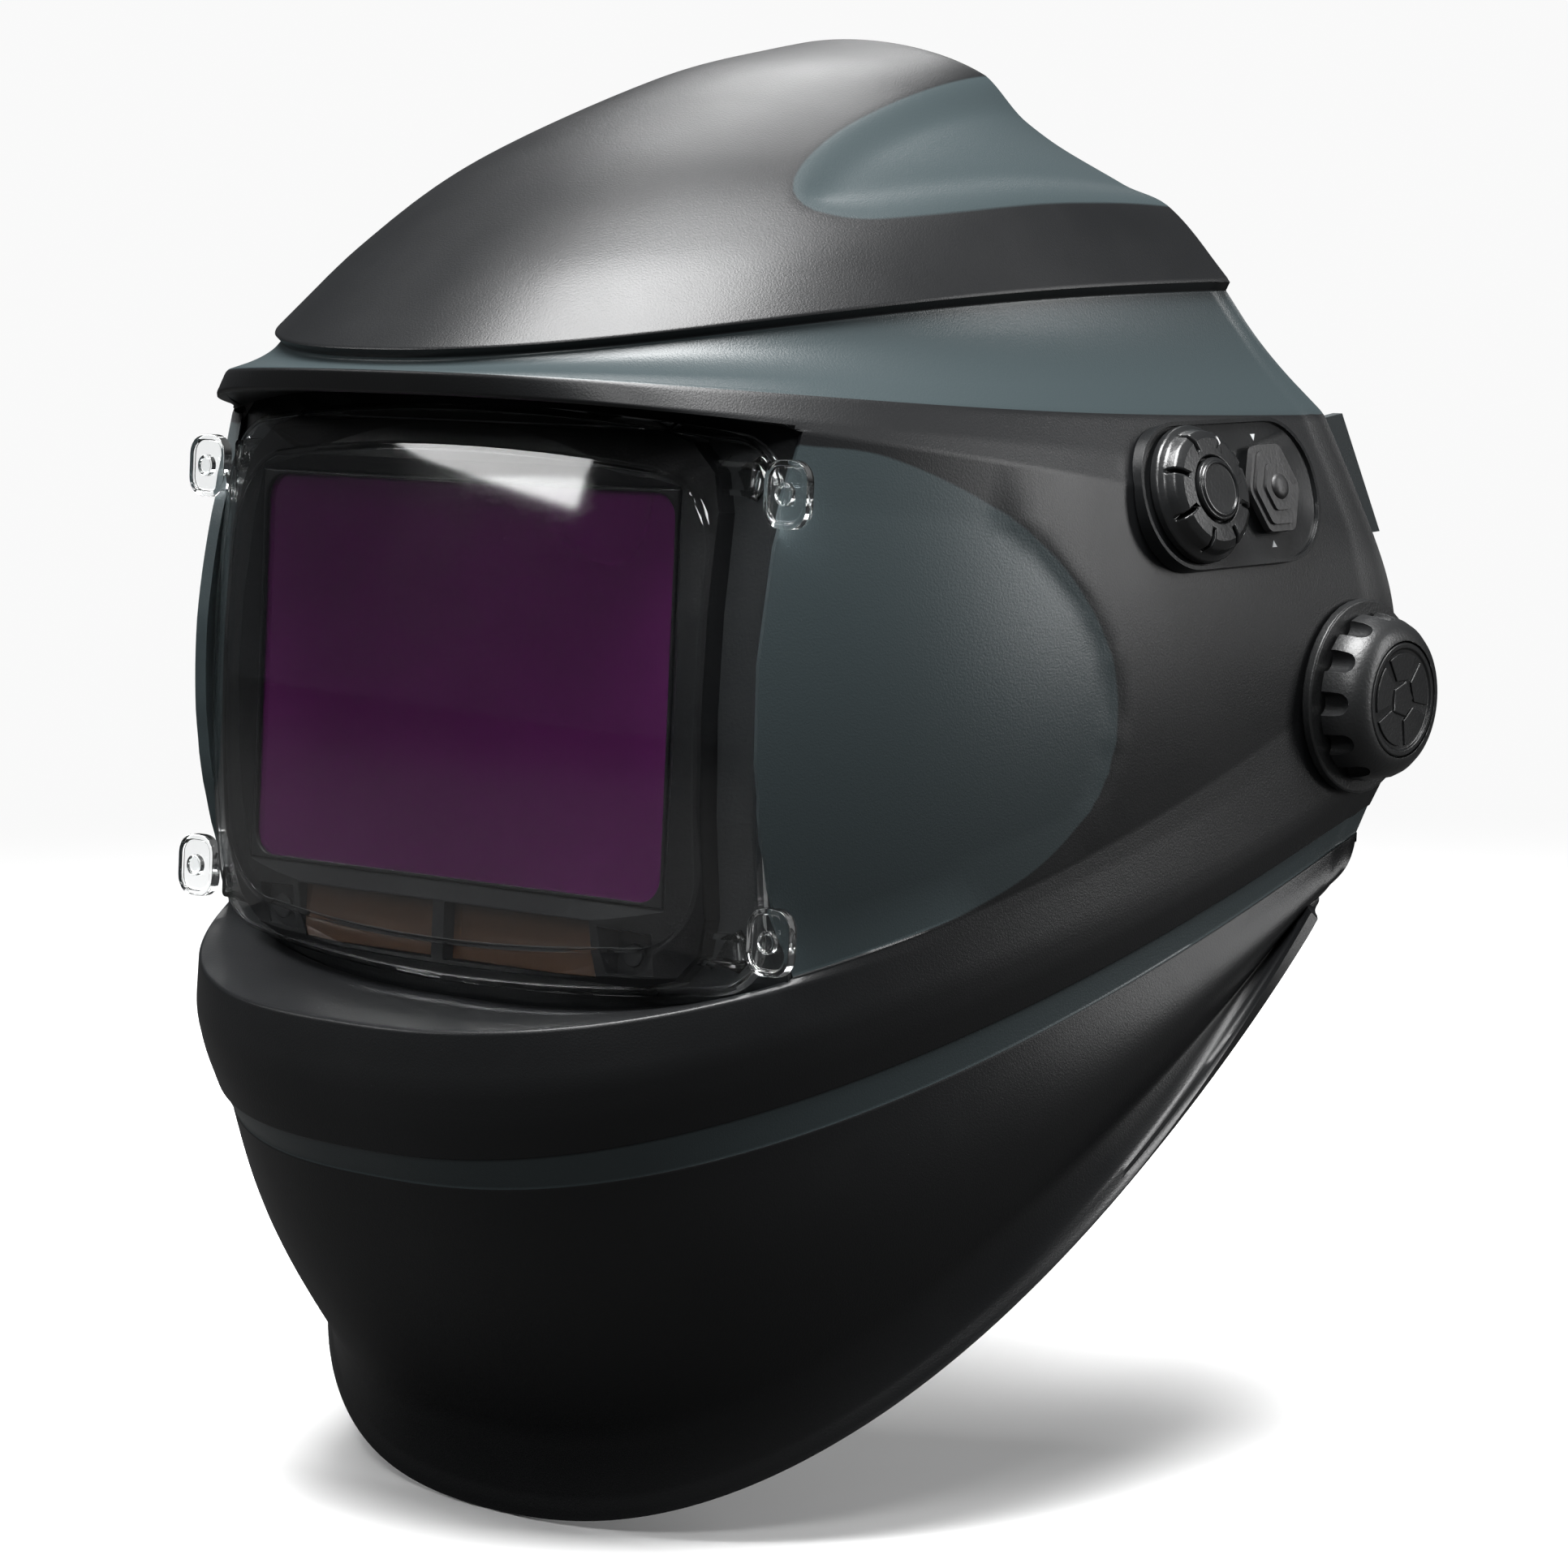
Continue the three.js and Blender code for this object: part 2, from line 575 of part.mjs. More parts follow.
// The cover lens: a bulged sheet with a skirt that runs back round its edge, and four spring tabs.
function coverLens() {
  const outline = bowedOutline(lens);
  const loop = (share, back) =>
    outline.map((p) => {
      const [x, z] = [p.x * share, p.y * share];
      return new THREE.Vector3(x, lensDepth(x, z) + back, z);
    });
  const inset = 1 - lens.wall / lens.half;
  const shares = [0.35, 0.7, 1];
  const loops = [
    ...shares.map((s) => loop(s, 0)),
    loop(1, lens.skirt),
    loop(inset, lens.skirt),
    ...shares.toReversed().map((s) => loop(s * inset, lens.wall)),
  ];
  const middle = (back) => new THREE.Vector3(0, lens.front + back, 0);
  const pieces = [skin(loops, [middle(0), middle(lens.wall)])];
  for (const side of [-1, 1])
    for (const z of [tab.up, tab.down]) {
      const front = lensDepth(lens.half, z) + lens.wall / 2;
      const plate = plateXZ(roundedRectangle(tab.reach + 8, tab.height, 5), front, front + tab.thick, 3);
      const pip = rodY(tab.pip, front - 0.6, front + 1, 8);
      pieces.push(plate.translate(side * (lens.half + tab.reach / 2 - 4), 0, z));
      pieces.push(pip.translate(side * (lens.half + tab.reach / 2 - 1), 0, z));
    }
  return geometryOf(largest(clearOfShell(inFilter(join(...pieces)), [0, 0, 0], [0, -1, 0])));
}
add("cover_lens", coverLens(), materials.clear);

// The holder rings the cartridge and lies behind the lens's skirt and the window's edge.
function filterHolder() {
  const inner = bowedOutline(grow(housing, gap));
  const outer = bowedOutline(grow(lens, holder.margin));
  const front = lens.skirt + gap;
  const loop = (outline, back) => outline.map((p) => new THREE.Vector3(p.x, lensDepth(p.x, p.y) + back, p.y));
  const back = front + holder.thick;
  const ring = skin([loop(inner, front), loop(outer, front), loop(outer, back), loop(inner, back)]);
  return geometryOf(largest(clearOfShell(inFilter(ring), [0, 0, 0], [0, 1, 0])));
}
add("filter_holder", filterHolder(), materials.plastic);

// The housing: a bevelled view with the glass and the inner plate behind it, pockets in front for the solar
// cells and the arc sensors, a pocket inside for the board and two slots behind for the battery trays.
const glassSize = { width: view.width + 2 * glass.edge, height: view.height + 2 * glass.edge };
const cellX = (cell.width + cell.apart) / 2;
const pocketTop = -glassSize.height / 2; // the board's pocket opens into the glass's
function filterHousing() {
  const { front, back } = housing;
  const room = (width, depth, height) => box(width + 2 * gap, depth, height + 2 * gap);
  const boardMiddle = pocketTop - board.height / 2;
  const cutters = [
    lensRoom(),
    taper({ y: front - 0.01, width: view.width + 9, height: view.height + 9 }, { y: 0, ...view }),
    box(view.width, 2, view.height),
    room(glassSize.width, back + 1 + gap, glassSize.height).translate(0, (back + 1 - gap) / 2, 0),
    room(board.width, board.thick + 1, board.height).translate(0, board.front + board.thick / 2, boardMiddle),
  ];
  for (const [, side] of sides) {
    cutters.push(room(cell.width, 2 * cell.depth, cell.height).translate(side * cellX, front, -cell.drop));
    const mouth = { y: front - 0.01, width: sensor.width, height: sensor.height };
    const floor = { y: front + sensor.depth, width: sensor.width - 4, height: sensor.height - 2 };
    cutters.push(taper(mouth, floor).translate(side * sensor.x, 0, -cell.drop));
    const slot = room(tray.width, back - tray.front + 2, tray.height + 4);
    const slotMiddle = (tray.front + back) / 2 + 1 - gap;
    cutters.push(slot.translate(side * tray.x, slotMiddle, trayMiddle - 2));
  }
  return inFilter(cut(plateXZ(shapeOf(bowedOutline(housing)), front, back), ...cutters));
}
const trayMiddle = -housing.bottom + tray.height / 2 - gap;
add("filter_housing", filterHousing(), materials.plastic);
add("filter_glass",
  inFilter(box(glassSize.width, glass.thick, glassSize.height).translate(0, glass.thick / 2, 0)),
  materials.filter);
const boardZ = pocketTop - gap - board.height / 2;
add("filter_board",
  inFilter(box(board.width, board.thick, board.height).translate(0, board.front + board.thick / 2, boardZ)),
  materials.board);
add("inner_cover_plate",
  inFilter(box(glassSize.width, innerPlate.thick, glassSize.height).translate(0, innerPlate.front, 0)),
  materials.clear);

function batteryTray() {
  const { width, height, thick, front, coin, rim } = tray;
  const well = rodY(coin + gap, front + rim, front + thick + 1, 24);
  const lip = box(width, thick + 2, 1.6).translate(0, front + thick / 2 + 1, -height / 2 - 0.8);
  const body = box(width, thick, height + 0.4).translate(0, front + thick / 2, -0.2);
  return cut(join(body, lip), well);
}
for (const [name, side] of sides) {
  const inTray = (geometry) => inFilter(geometry.translate(side * tray.x, 0, trayMiddle));
  const floor = housing.front + cell.depth - gap;
  const cellPlate = box(cell.width, cell.thick, cell.height);
  add(`solar_cell_${name}`,
    inFilter(cellPlate.translate(side * cellX, floor - cell.thick / 2, -cell.drop)), materials.cell);
  const sensorFloor = housing.front + sensor.depth - gap;
  const eye = rodY(sensor.radius, sensorFloor - sensor.thick, sensorFloor, 16);
  add(`arc_sensor_${name}`, inFilter(eye.translate(side * sensor.x, 0, -cell.drop)), materials.cell);
  add(`battery_tray_${name}`, inTray(batteryTray()), materials.plastic);
  const coinFront = tray.front + tray.rim + gap;
  add(`coin_cell_${name}`, inTray(rodY(tray.coin, coinFront, coinFront + tray.coinThick)), materials.metal);
}

// The frame behind the cartridge keeps it in, and its flat rear face seats a magnifying lens.
function retainingFrame() {
  const outline = shapeOf(bowedOutline(grow(housing, -1)));
  outline.holes.push(roundedRectangle(magnifier.width, magnifier.height, magnifier.radius));
  const front = housing.back + gap;
  return inFilter(plateXZ(outline, front, front + magnifier.thick, 4));
}
add("retaining_frame", retainingFrame(), materials.plastic);

// ---- controls ----
const seat = panel.proud - panel.recess; // the recessed face inside the bezel's rim
function controlBezel() {
  const outline = roundedRectangle(panel.length, panel.height, panel.radius);
  const inside = roundedRectangle(
    panel.length - 2 * panel.rim, panel.height - 2 * panel.rim, panel.radius - panel.rim);
  const blank = cut(
    plateYZ(outline, -8, panel.proud),
    plateYZ(inside, seat, panel.proud + 1),
    rodX(dial.sleeve + 2 * running, -20, 20, 16).translate(0, dial.along, 0),
    rodX(button.stem + 2 * running, -20, 20, 16).translate(0, button.along, 0),
  );
  return geometryOf(outermost(clearOfShell(inPanel(blank), [1, 0, 0], [2, 0, 0]), 1));
}
add("control_bezel", controlBezel(), materials.plastic);

// The dial turns on a hollow sleeve, and its cap is a push button whose stem runs down through the sleeve.
const dialFoot = seat + running;
const capWell = dialFoot + dial.height - dial.well;
const atDial = (geometry) => inPanel(geometry.translate(0, dial.along, 0));
function modeDial() {
  const { skirt, top, height, cap, lobes, groove } = dial;
  const [foot, bore] = [dialFoot, dial.sleeve + gap];
  const profile = [
    [bore, foot], [skirt, foot], [skirt, foot + 2], [top, foot + 3], [top - 0.6, foot + height - 1.2],
    [top - 2.4, foot + height - 0.2], [cap + gap, foot + height], [cap + gap, capWell], [bore, capWell],
    [bore, foot],
  ];
  const grooves = [];
  for (let i = 0; i < lobes; i++) {
    const g = box(height, 12, groove).translate(foot + 3 + height / 2, cap + 2 + 6, 0);
    grooves.push(g.rotateX(((i + 0.5) * 2 * Math.PI) / lobes));
  }
  return cut(turnedX(profile, 40), ...grooves);
}
add("mode_dial", atDial(modeDial()), materials.plastic);
const switchTop = -controlBox.depth + controlBox.floor + board.thick + controlBox.switch + 2 * gap;
add("dial_sleeve", atDial(cut(
  rodX(dial.sleeve, switchTop + gap, capWell - gap, 20), rodX(dial.stem + running, -20, 20, 16),
)), materials.metal);
const capFoot = capWell + dial.travel + gap;
add("mode_dial_cap", atDial(join(
  rodX(dial.cap - 0.2, capFoot, dialFoot + dial.height + dial.travel, 32),
  rodX(dial.stem, switchTop + dial.travel + gap, capFoot + 0.2, 16),
)), materials.plastic);

// The hexagonal button steps up towards its middle.
function hexagon(half, squeeze = 0.85) {
  const s = new THREE.Shape();
  const corner = (k) => {
    const angle = (k * Math.PI) / 3;
    const reach = half / Math.sin(Math.PI / 3);
    return new THREE.Vector2(squeeze * reach * Math.cos(angle), reach * Math.sin(angle));
  };
  for (let k = 0; k < 6; k++) {
    const [before, at, after] = [corner(k - 1), corner(k), corner(k + 1)];
    const [from, to] = [at.clone().lerp(before, 0.15), at.clone().lerp(after, 0.15)];
    if (k) s.lineTo(from.x, from.y);
    else s.moveTo(from.x, from.y);
    s.quadraticCurveTo(at.x, at.y, to.x, to.y);
  }
  s.closePath();
  return s;
}
function grindButton() {
  const foot = seat + running + button.travel;
  const pieces = [rodX(button.stem, switchTop + button.travel + gap, foot + 1, 20)];
  let level = foot;
  for (const [half, rise] of button.steps) {
    pieces.push(plateYZ(hexagon(half), level - 0.1, level + rise, 3));
    level += rise;
  }
  return inPanel(join(...pieces).translate(0, button.along, 0));
}
add("grind_button", grindButton(), materials.rubber);

// Inside the shell: the control board with its two switches, and the cover that closes the box.
const boxLength = panel.length - 2 * controlBox.margin;
const boxHeight = panel.height - 2 * controlBox.margin;
const boardFoot = -controlBox.depth + controlBox.floor + gap;
add("control_board",
  inPanel(plateYZ(
    roundedRectangle(boxLength - 6, boxHeight - 6, 3), boardFoot, boardFoot + board.thick, 3)),
  materials.board);
for (const [name, along] of [["dial_switch", dial.along], ["button_switch", button.along]]) {
  const foot = boardFoot + board.thick + gap;
  const body = box(switchTop - foot, 10, 10).translate((switchTop + foot) / 2, along, 0);
  add(name, inPanel(body), materials.plastic);
}
function controlCover() {
  const floor = -controlBox.depth;
  const cup = inPanel(cut(
    plateYZ(roundedRectangle(boxLength, boxHeight, 8), floor, 2),
    plateYZ(roundedRectangle(boxLength - 4, boxHeight - 4, 6), floor + controlBox.floor, 3),
  ));
  const wing = new THREE.Shape(flap.outline.map(([y, z]) => new THREE.Vector2(y, z)));
  const tail = plateYZ(wing, flap.x, flap.x + flap.thick);
  return geometryOf(largest(clearOfShell(join(cup, tail), [-1, 0, 0], [0, 1, 0])));
}
add("control_cover", controlCover(), materials.plastic);

// ---- pivots ----
const roundPivot = [0, 1, 2, 3, 4, 5, 6, 7].map((angle) => [15 * Math.cos(angle), 15 * Math.sin(angle)]);
const shellSide = Math.max(...roundPivot.map(([y, z]) => sideOfShell(y, z).x)); // its outside at the pivot
const flangeFace = shellSide + gap + flange.thick;
const armOuter = arm.inner + arm.thick;
const blockFoot = armOuter + running;
function knobProfile() {
  const { base, top, height, bore, bury } = knob;
  return [
    [bore, 0], [base, 0], [base, 1], [top + 1.6, height * 0.4], [top, height * 0.66],
    [knob.cap + 1.6, height - 0.6], [knob.cap + gap, height], [knob.cap + gap, height - bury],
    [bore, height - bury], [bore, 0],
  ];
}
function tensionKnob() {
  const flutes = [];
  for (let i = 0; i < knob.flutes; i++) {
    const flute = rodX(knob.flute, 1, knob.height * 0.8, 6).translate(0, knob.base + 0.6, 0);
    flutes.push(flute.rotateX((i * 2 * Math.PI) / knob.flutes));
  }
  return cut(turnedX(knobProfile(), 30), ...flutes);
}
for (const [name, side] of sides) {
  const place = (geometry) => (side > 0 ? geometry : geometry.rotateZ(Math.PI));
  const disc = rodX(flange.radius, shellSide + gap, flangeFace, 36);
  add(`pivot_washer_${name}`, place(cut(disc, rodX(boltRadius + running, 0, 200, 20))), materials.plastic);
  const foot = flangeFace + running;
  add(`tension_knob_${name}`, place(tensionKnob().translate(foot, 0, 0)), materials.plastic);
  const capFloor = foot + knob.height - knob.bury + gap;
  add(`tension_knob_cap_${name}`, place(rodX(knob.cap, capFloor, foot + knob.height, 30)), materials.plastic);
  add(`pivot_bolt_${name}`, place(join(
    rodX(boltHead.radius, arm.inner - running - boltHead.thick, arm.inner - running, 6),
    rodX(boltRadius, arm.inner - running - 1, foot + knob.height - knob.bury - gap, 24),
  )), materials.metal);
  const block = cut(
    join(
      plateYZ(roundedRectangle(slider.length, slider.height, 4), blockFoot, blockFoot + slider.thick, 3),
      rodX(slider.hub, blockFoot + 1, shellSide - wall - 3 * running, 28),
    ),
    rodX(boltRadius + gap, 0, 200),
  );
  add(`slider_block_${name}`, place(block), materials.plastic);
}

// ---- head harness ----
const bandHeight = (y) => head.level - head.fall * y;

// Half-turn round one end of the head's outline, grown outwards, with straight sides run on to `sideEnd`.
function headPath(end, by, sideEnd, turn = 90) {
  const { side, y, depth } = end;
  const points = [];
  const at = (angle) => {
    const [s, c] = [Math.sin(angle), Math.cos(angle)];
    const power = 2 / head.square;
    const x = side * Math.sign(s) * (head.half + by) * Math.abs(s) ** power;
    return new THREE.Vector3(x, y + side * (depth + by) * Math.abs(c) ** power, 0);
  };
  const last = THREE.MathUtils.degToRad(turn);
  for (let i = -12; i <= 12; i++) points.push(at((-last * i) / 12));
  if (sideEnd !== undefined) {
    points.unshift(new THREE.Vector3(points[0].x, sideEnd, 0));
    points.push(new THREE.Vector3(points.at(-1).x, sideEnd, 0));
  }
  for (const p of points) p.z = bandHeight(p.y);
  return points;
}
const up = new THREE.Vector3(0, 0, 1);
add("headband", ribbon(headPath(head.front, 0, head.bandEnd), band.height, band.thick, up), materials.strap);
const sweatbandPath = headPath(head.front, -pad.thick - gap, undefined, pad.turn);
add("sweatband", ribbon(sweatbandPath, pad.height, pad.thick, up), materials.foam);

// Each pivot arm stands off the headband on two bosses and has a slot that the slider block's bolt runs in.
for (const [name, side] of sides) {
  const slotHalf = boltRadius + running;
  const slot = roundedRectangle(2 * (travel + slotHalf), 2 * slotHalf, slotHalf);
  const plate = plateYZ(roundedRectangle(arm.length, arm.height, 12), arm.inner, armOuter, 4);
  const bosses = arm.bosses.map(([y, z]) =>
    rodX(arm.boss, head.half + band.thick + gap, armOuter - 0.2, 10).translate(0, y, z));
  const slotted = cut(join(plate, ...bosses), plateYZ(slot, arm.inner - 1, armOuter + 1, 4));
  add(`pivot_arm_${name}`, side > 0 ? slotted : mirrored(slotted), materials.strap);
}

// The crown strap's two halves lap at the top and are pegged together.
function strapHalf(side, rise) {
  const last = Math.PI / 2 + 0.13;
  const foot = head.half + band.thick + gap;
  const points = [];
  for (let i = 0; i <= 16; i++) {
    const angle = (last * i) / 16;
    points.push(new THREE.Vector3(foot * Math.cos(angle), strap.y, strap.spring + rise * Math.sin(angle)));
  }
  points.unshift(new THREE.Vector3(foot, strap.y, strap.foot));
  const half = ribbon(points, strap.width, strap.thick, new THREE.Vector3(0, -1, 0));
  const hole = new THREE.CylinderGeometry(strap.peg + gap, strap.peg + gap, 40, 16).rotateX(Math.PI / 2);
  hole.translate(0, strap.y, strap.spring + rise);
  return side > 0 ? cut(half, hole) : cut(mirrored(half), hole);
}
const strapRise = strap.top - strap.spring;
add("crown_strap_left", strapHalf(1, strapRise), materials.strap);
add("crown_strap_right", strapHalf(-1, strapRise - strap.thick - gap), materials.strap);
function crownPeg() {
  const low = strap.top - strap.thick - 3 * gap;
  const high = strap.top + strap.thick + gap;
  const profile = [
    [0, low - 1.5], [strap.peg + 2, low - 1.5], [strap.peg + 2, low], [strap.peg, low], [strap.peg, high],
    [strap.peg + 2, high], [strap.peg + 2, high + 1.5], [0, high + 1.5],
  ];
  const points = profile.map(([r, z]) => new THREE.Vector2(r, z));
  return new THREE.LatheGeometry(points, 20).rotateX(Math.PI / 2).translate(0, strap.y, 0);
}
add("crown_peg", crownPeg(), materials.plastic);

// The rear cradle slides on the headband's ends; its ratchet draws the two together.
const cradleInner = band.thick + running;
const cradlePath = headPath(head.rear, cradleInner, head.cradleEnd);
add("rear_cradle", ribbon(cradlePath, cradle.height, cradle.thick, up), materials.strap);
const rearPadPath = headPath(head.rear, -pad.rear + cradleInner - 2 * gap, undefined, 42);
add("rear_pad", ribbon(rearPadPath, pad.height, pad.rear, up), materials.foam);
const cradleBack = head.rear.y + head.rear.depth + cradleInner + cradle.thick;
const ratchetZ = bandHeight(head.rear.y + head.rear.depth + cradleInner);
const atRatchet = (geometry) => geometry.translate(0, cradleBack + gap, ratchetZ);
function ratchetHousing() {
  const { width, depth, height, skin: side } = ratchet;
  const outside = plateXZ(roundedRectangle(width, height, 8), 0, depth);
  const inside = plateXZ(roundedRectangle(width - 2 * side, height - 2 * side, 6), -1, depth - side);
  return cut(outside, inside, rodY(ratchet.axle + running, 0, 2 * depth));
}
add("ratchet_housing", atRatchet(ratchetHousing()), materials.plastic);
const pinionBack = ratchet.depth - ratchet.skin - running;
add("ratchet_pinion", atRatchet(join(
  rodY(ratchet.pinion, running, pinionBack, 20),
  rodY(ratchet.axle, pinionBack - 1, ratchet.depth + running + 4, 16),
)), materials.plastic);
for (const [name, side] of [["upper", 1], ["lower", -1]]) {
  const rack = box(ratchet.width - 2 * ratchet.skin - 2, 3, 5);
  rack.translate(0, 2.5, side * (ratchet.pinion + running + 2.5));
  add(`ratchet_rack_${name}`, atRatchet(rack), materials.strap);
}
function ratchetKnob() {
  const from = ratchet.depth + running;
  const profile = [
    [0, from], [ratchet.radius, from], [ratchet.radius, from + ratchet.tall - 3],
    [ratchet.radius - 4, from + ratchet.tall], [0, from + ratchet.tall],
  ];
  const points = profile.map(([r, y]) => new THREE.Vector2(r, y));
  const grips = [];
  for (let i = 0; i < ratchet.grips; i++)
    grips.push(rodY(2, from + 2, from + 2 * ratchet.tall, 6).translate(ratchet.radius + 0.8, 0, 0)
      .rotateY((i * 2 * Math.PI) / ratchet.grips));
  const bore = rodY(ratchet.axle + gap, from - 1, from + 4 + gap, 16);
  return cut(new THREE.LatheGeometry(points, 30), bore, ...grips);
}
add("ratchet_knob", atRatchet(ratchetKnob()), materials.rubber);

export default helmet;
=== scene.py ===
import bpy
import bmesh
import json
import math
import numpy as np
from mathutils import Matrix, Vector

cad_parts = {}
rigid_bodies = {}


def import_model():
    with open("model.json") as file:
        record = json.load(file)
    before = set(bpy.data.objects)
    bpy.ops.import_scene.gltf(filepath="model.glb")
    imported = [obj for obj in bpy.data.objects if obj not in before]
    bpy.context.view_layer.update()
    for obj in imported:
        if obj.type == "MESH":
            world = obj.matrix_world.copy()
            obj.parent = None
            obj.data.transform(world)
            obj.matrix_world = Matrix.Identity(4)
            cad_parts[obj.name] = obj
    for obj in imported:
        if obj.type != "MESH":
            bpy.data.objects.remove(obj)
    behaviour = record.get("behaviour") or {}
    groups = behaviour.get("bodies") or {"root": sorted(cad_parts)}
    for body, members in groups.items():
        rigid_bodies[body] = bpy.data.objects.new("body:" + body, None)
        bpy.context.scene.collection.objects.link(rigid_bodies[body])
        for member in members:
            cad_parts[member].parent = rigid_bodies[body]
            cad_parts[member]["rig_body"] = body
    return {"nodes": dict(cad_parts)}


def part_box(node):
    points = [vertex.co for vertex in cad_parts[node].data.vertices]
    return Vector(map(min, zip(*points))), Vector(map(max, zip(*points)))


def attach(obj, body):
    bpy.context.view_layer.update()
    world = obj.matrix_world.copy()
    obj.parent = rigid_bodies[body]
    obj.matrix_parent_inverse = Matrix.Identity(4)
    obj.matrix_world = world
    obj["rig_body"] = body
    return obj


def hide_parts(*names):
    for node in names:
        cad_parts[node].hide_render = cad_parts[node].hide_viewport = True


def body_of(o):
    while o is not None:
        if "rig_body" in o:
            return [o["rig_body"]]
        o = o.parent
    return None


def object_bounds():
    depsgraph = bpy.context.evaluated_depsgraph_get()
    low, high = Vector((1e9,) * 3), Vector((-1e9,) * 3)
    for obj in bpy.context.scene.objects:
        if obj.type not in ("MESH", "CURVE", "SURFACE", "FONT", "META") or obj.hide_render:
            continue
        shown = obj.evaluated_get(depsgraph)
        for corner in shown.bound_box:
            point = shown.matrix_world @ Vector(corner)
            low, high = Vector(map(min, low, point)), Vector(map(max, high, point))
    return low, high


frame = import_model()
cad_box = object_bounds()
nodes = frame["nodes"]
scene = bpy.context.scene
bpy.ops.object.select_all(action="DESELECT")

# ------------------------------------------------
# Shell. One injection moulding in glass-filled nylon, 2.4 mm thick, fine matt texture outside. Its brow,
# ledge and valley are rounded folds, and satin slate panels are let in over the crown and the sides.
# ------------------------------------------------
MM = 0.001
WALL = 2.4
FRONT_CELLS, SIDE_CELLS = 40, 62  # surface cells from the centre line to the window's side, and behind it
WINDOW_HALF = 84


def contour(front, end, square, sag=0.0, sweep=90.0, sill=None):
    return {"front": front, "end": end, "square": square, "sag": sag, "sweep": sweep, "sill": sill}


CROWN = contour((-46, 148), (38, -38.5, 139), 2, sweep=62)
CROWN_EDGE = contour((-198, 80), (90, -16, 93), 2.35, -3.5)
BAND_TOP = contour((-196, 78.5), (88, -15.5, 91), 2.35, -3.5)
BAND_EDGE = contour((-200, 76), (104, 1, 63), 2.7, 2.5)
BROW_EDGE = contour((-198.5, 71.5), (108, 6, 49), 2.85, 1)
WINDOW_TOP = contour((-196, 70.5), (111, 11, 36), 2.9, sill=-168)
WINDOW_LOW = contour((-205, -58.5), (114, 17, 10), 2.65, 4, sill=-174)
LEDGE_TOP = contour((-210, -58.5), (114, 17, 2), 2.6, 5)
LEDGE_LOW = contour((-210, -70.5), (114, 16, -14), 2.65)
STRIPE_TOP = contour((-206, -86.5), (112.5, 9, -26), 2.55)
STRIPE_LOW = contour((-200, -93.5), (112, 5, -32), 2.6)
VALLEY = contour((-168.5, -153.5), (111.5, -12, -45), 2.5, -4)
RIM = contour((-164.5, -173.5), (117, -20, -47), 2.35)


def catmull(points, steps):
    """A smooth line through the points, evenly spaced."""
    p = np.array(points, float)
    p = np.vstack([2 * p[0] - p[1], p, 2 * p[-1] - p[-2]])
    line = []
    for i in range(1, len(p) - 2):
        for t in np.linspace(0, 1, 40, endpoint=False):
            a, b, c, d = p[i - 1 : i + 3]
            line.append(
                0.5
                * (2 * b + (c - a) * t + (2 * a - 5 * b + 4 * c - d) * t**2 + (3 * b - a - 3 * c + d) * t**3)
            )
    line = np.array(line + [p[-2]])
    run = np.r_[0, np.cumsum(np.linalg.norm(np.diff(line, axis=0), axis=1))]
    want = np.linspace(0, run[-1], steps)
    return np.stack([np.interp(want, run, line[:, k]) for k in range(line.shape[1])], 1)


def blend_rows(a, b, share, bulge=0.0, squarer=0.0):
    swell = math.sin(math.pi * share)
    mix = lambda p, q: np.array(p, float) * (1 - share) + np.array(q, float) * share
    front, end = mix(a["front"], b["front"]), mix(a["end"], b["end"])
    front[0] -= bulge * swell
    end[0] += bulge * swell
    square = mix(a["square"], b["square"]) + squarer * swell
    sag, sweep = (float(mix(a[key], b[key])) for key in ("sag", "sweep"))
    return contour(front, end, float(square), sag, sweep)


CROWN_STEPS = 301
crown_line = catmull([(-46, 148), (-88, 139.5), (-140, 120), (-174, 99.5), (-198, 80)], CROWN_STEPS)
crown_rear = catmull([(38, -38.5, 139), (52, -31, 126), (76, -22, 110.5), (90, -16, 93)], CROWN_STEPS)


def crown_row(share):
    i = int(round(share * (CROWN_STEPS - 1)))
    row = blend_rows(CROWN, CROWN_EDGE, math.sqrt(share))
    row["front"], row["end"] = crown_line[i], crown_rear[i]
    return row


def half_row(row):
    """Points along one half of a contour, from the centre line to the rear edge, in millimetres."""
    s = np.linspace(0, 1, 1201)
    s = np.where(s < 0.5, 4 * s**3, 1 - 4 * (1 - s) ** 3)
    last = math.radians(row["sweep"])
    power = 2 / row["square"]
    forward = lambda angle: np.maximum(0, np.cos(angle)) ** power
    angle = last * s
    reach = (1 - forward(angle)) / (1 - forward(last))
    (fy, fz), (ex, ey, ez) = row["front"], row["end"]
    line = np.stack(
        [
            ex * np.sin(angle) ** power / math.sin(last) ** power,
            fy + (ey - fy) * reach,
            fz + (ez - fz) * reach - row["sag"] * np.sin(math.pi * reach),
        ],
        1,
    )
    run = np.r_[0, np.cumsum(np.linalg.norm(np.diff(line, axis=0), axis=1))]
    beyond = np.nonzero(line[:, 0] >= WINDOW_HALF)[0]
    corner = run[beyond[0]] if len(beyond) else np.inf
    if corner > 0.6 * run[-1]:
        corner = 0.575 * run[-1]
    want = np.r_[np.linspace(0, corner, FRONT_CELLS + 1), np.linspace(corner, run[-1], SIDE_CELLS + 1)[1:]]
    points = np.stack([np.interp(want, run, line[:, k]) for k in range(3)], 1)
    points[0, 0] = 0
    if row["sill"] is not None:
        side = points[FRONT_CELLS]
        front = points[:FRONT_CELLS]
        front[:, 1] = side[1] + (row["sill"] - side[1]) * (1 - (front[:, 0] / side[0]) ** 2)
    return points


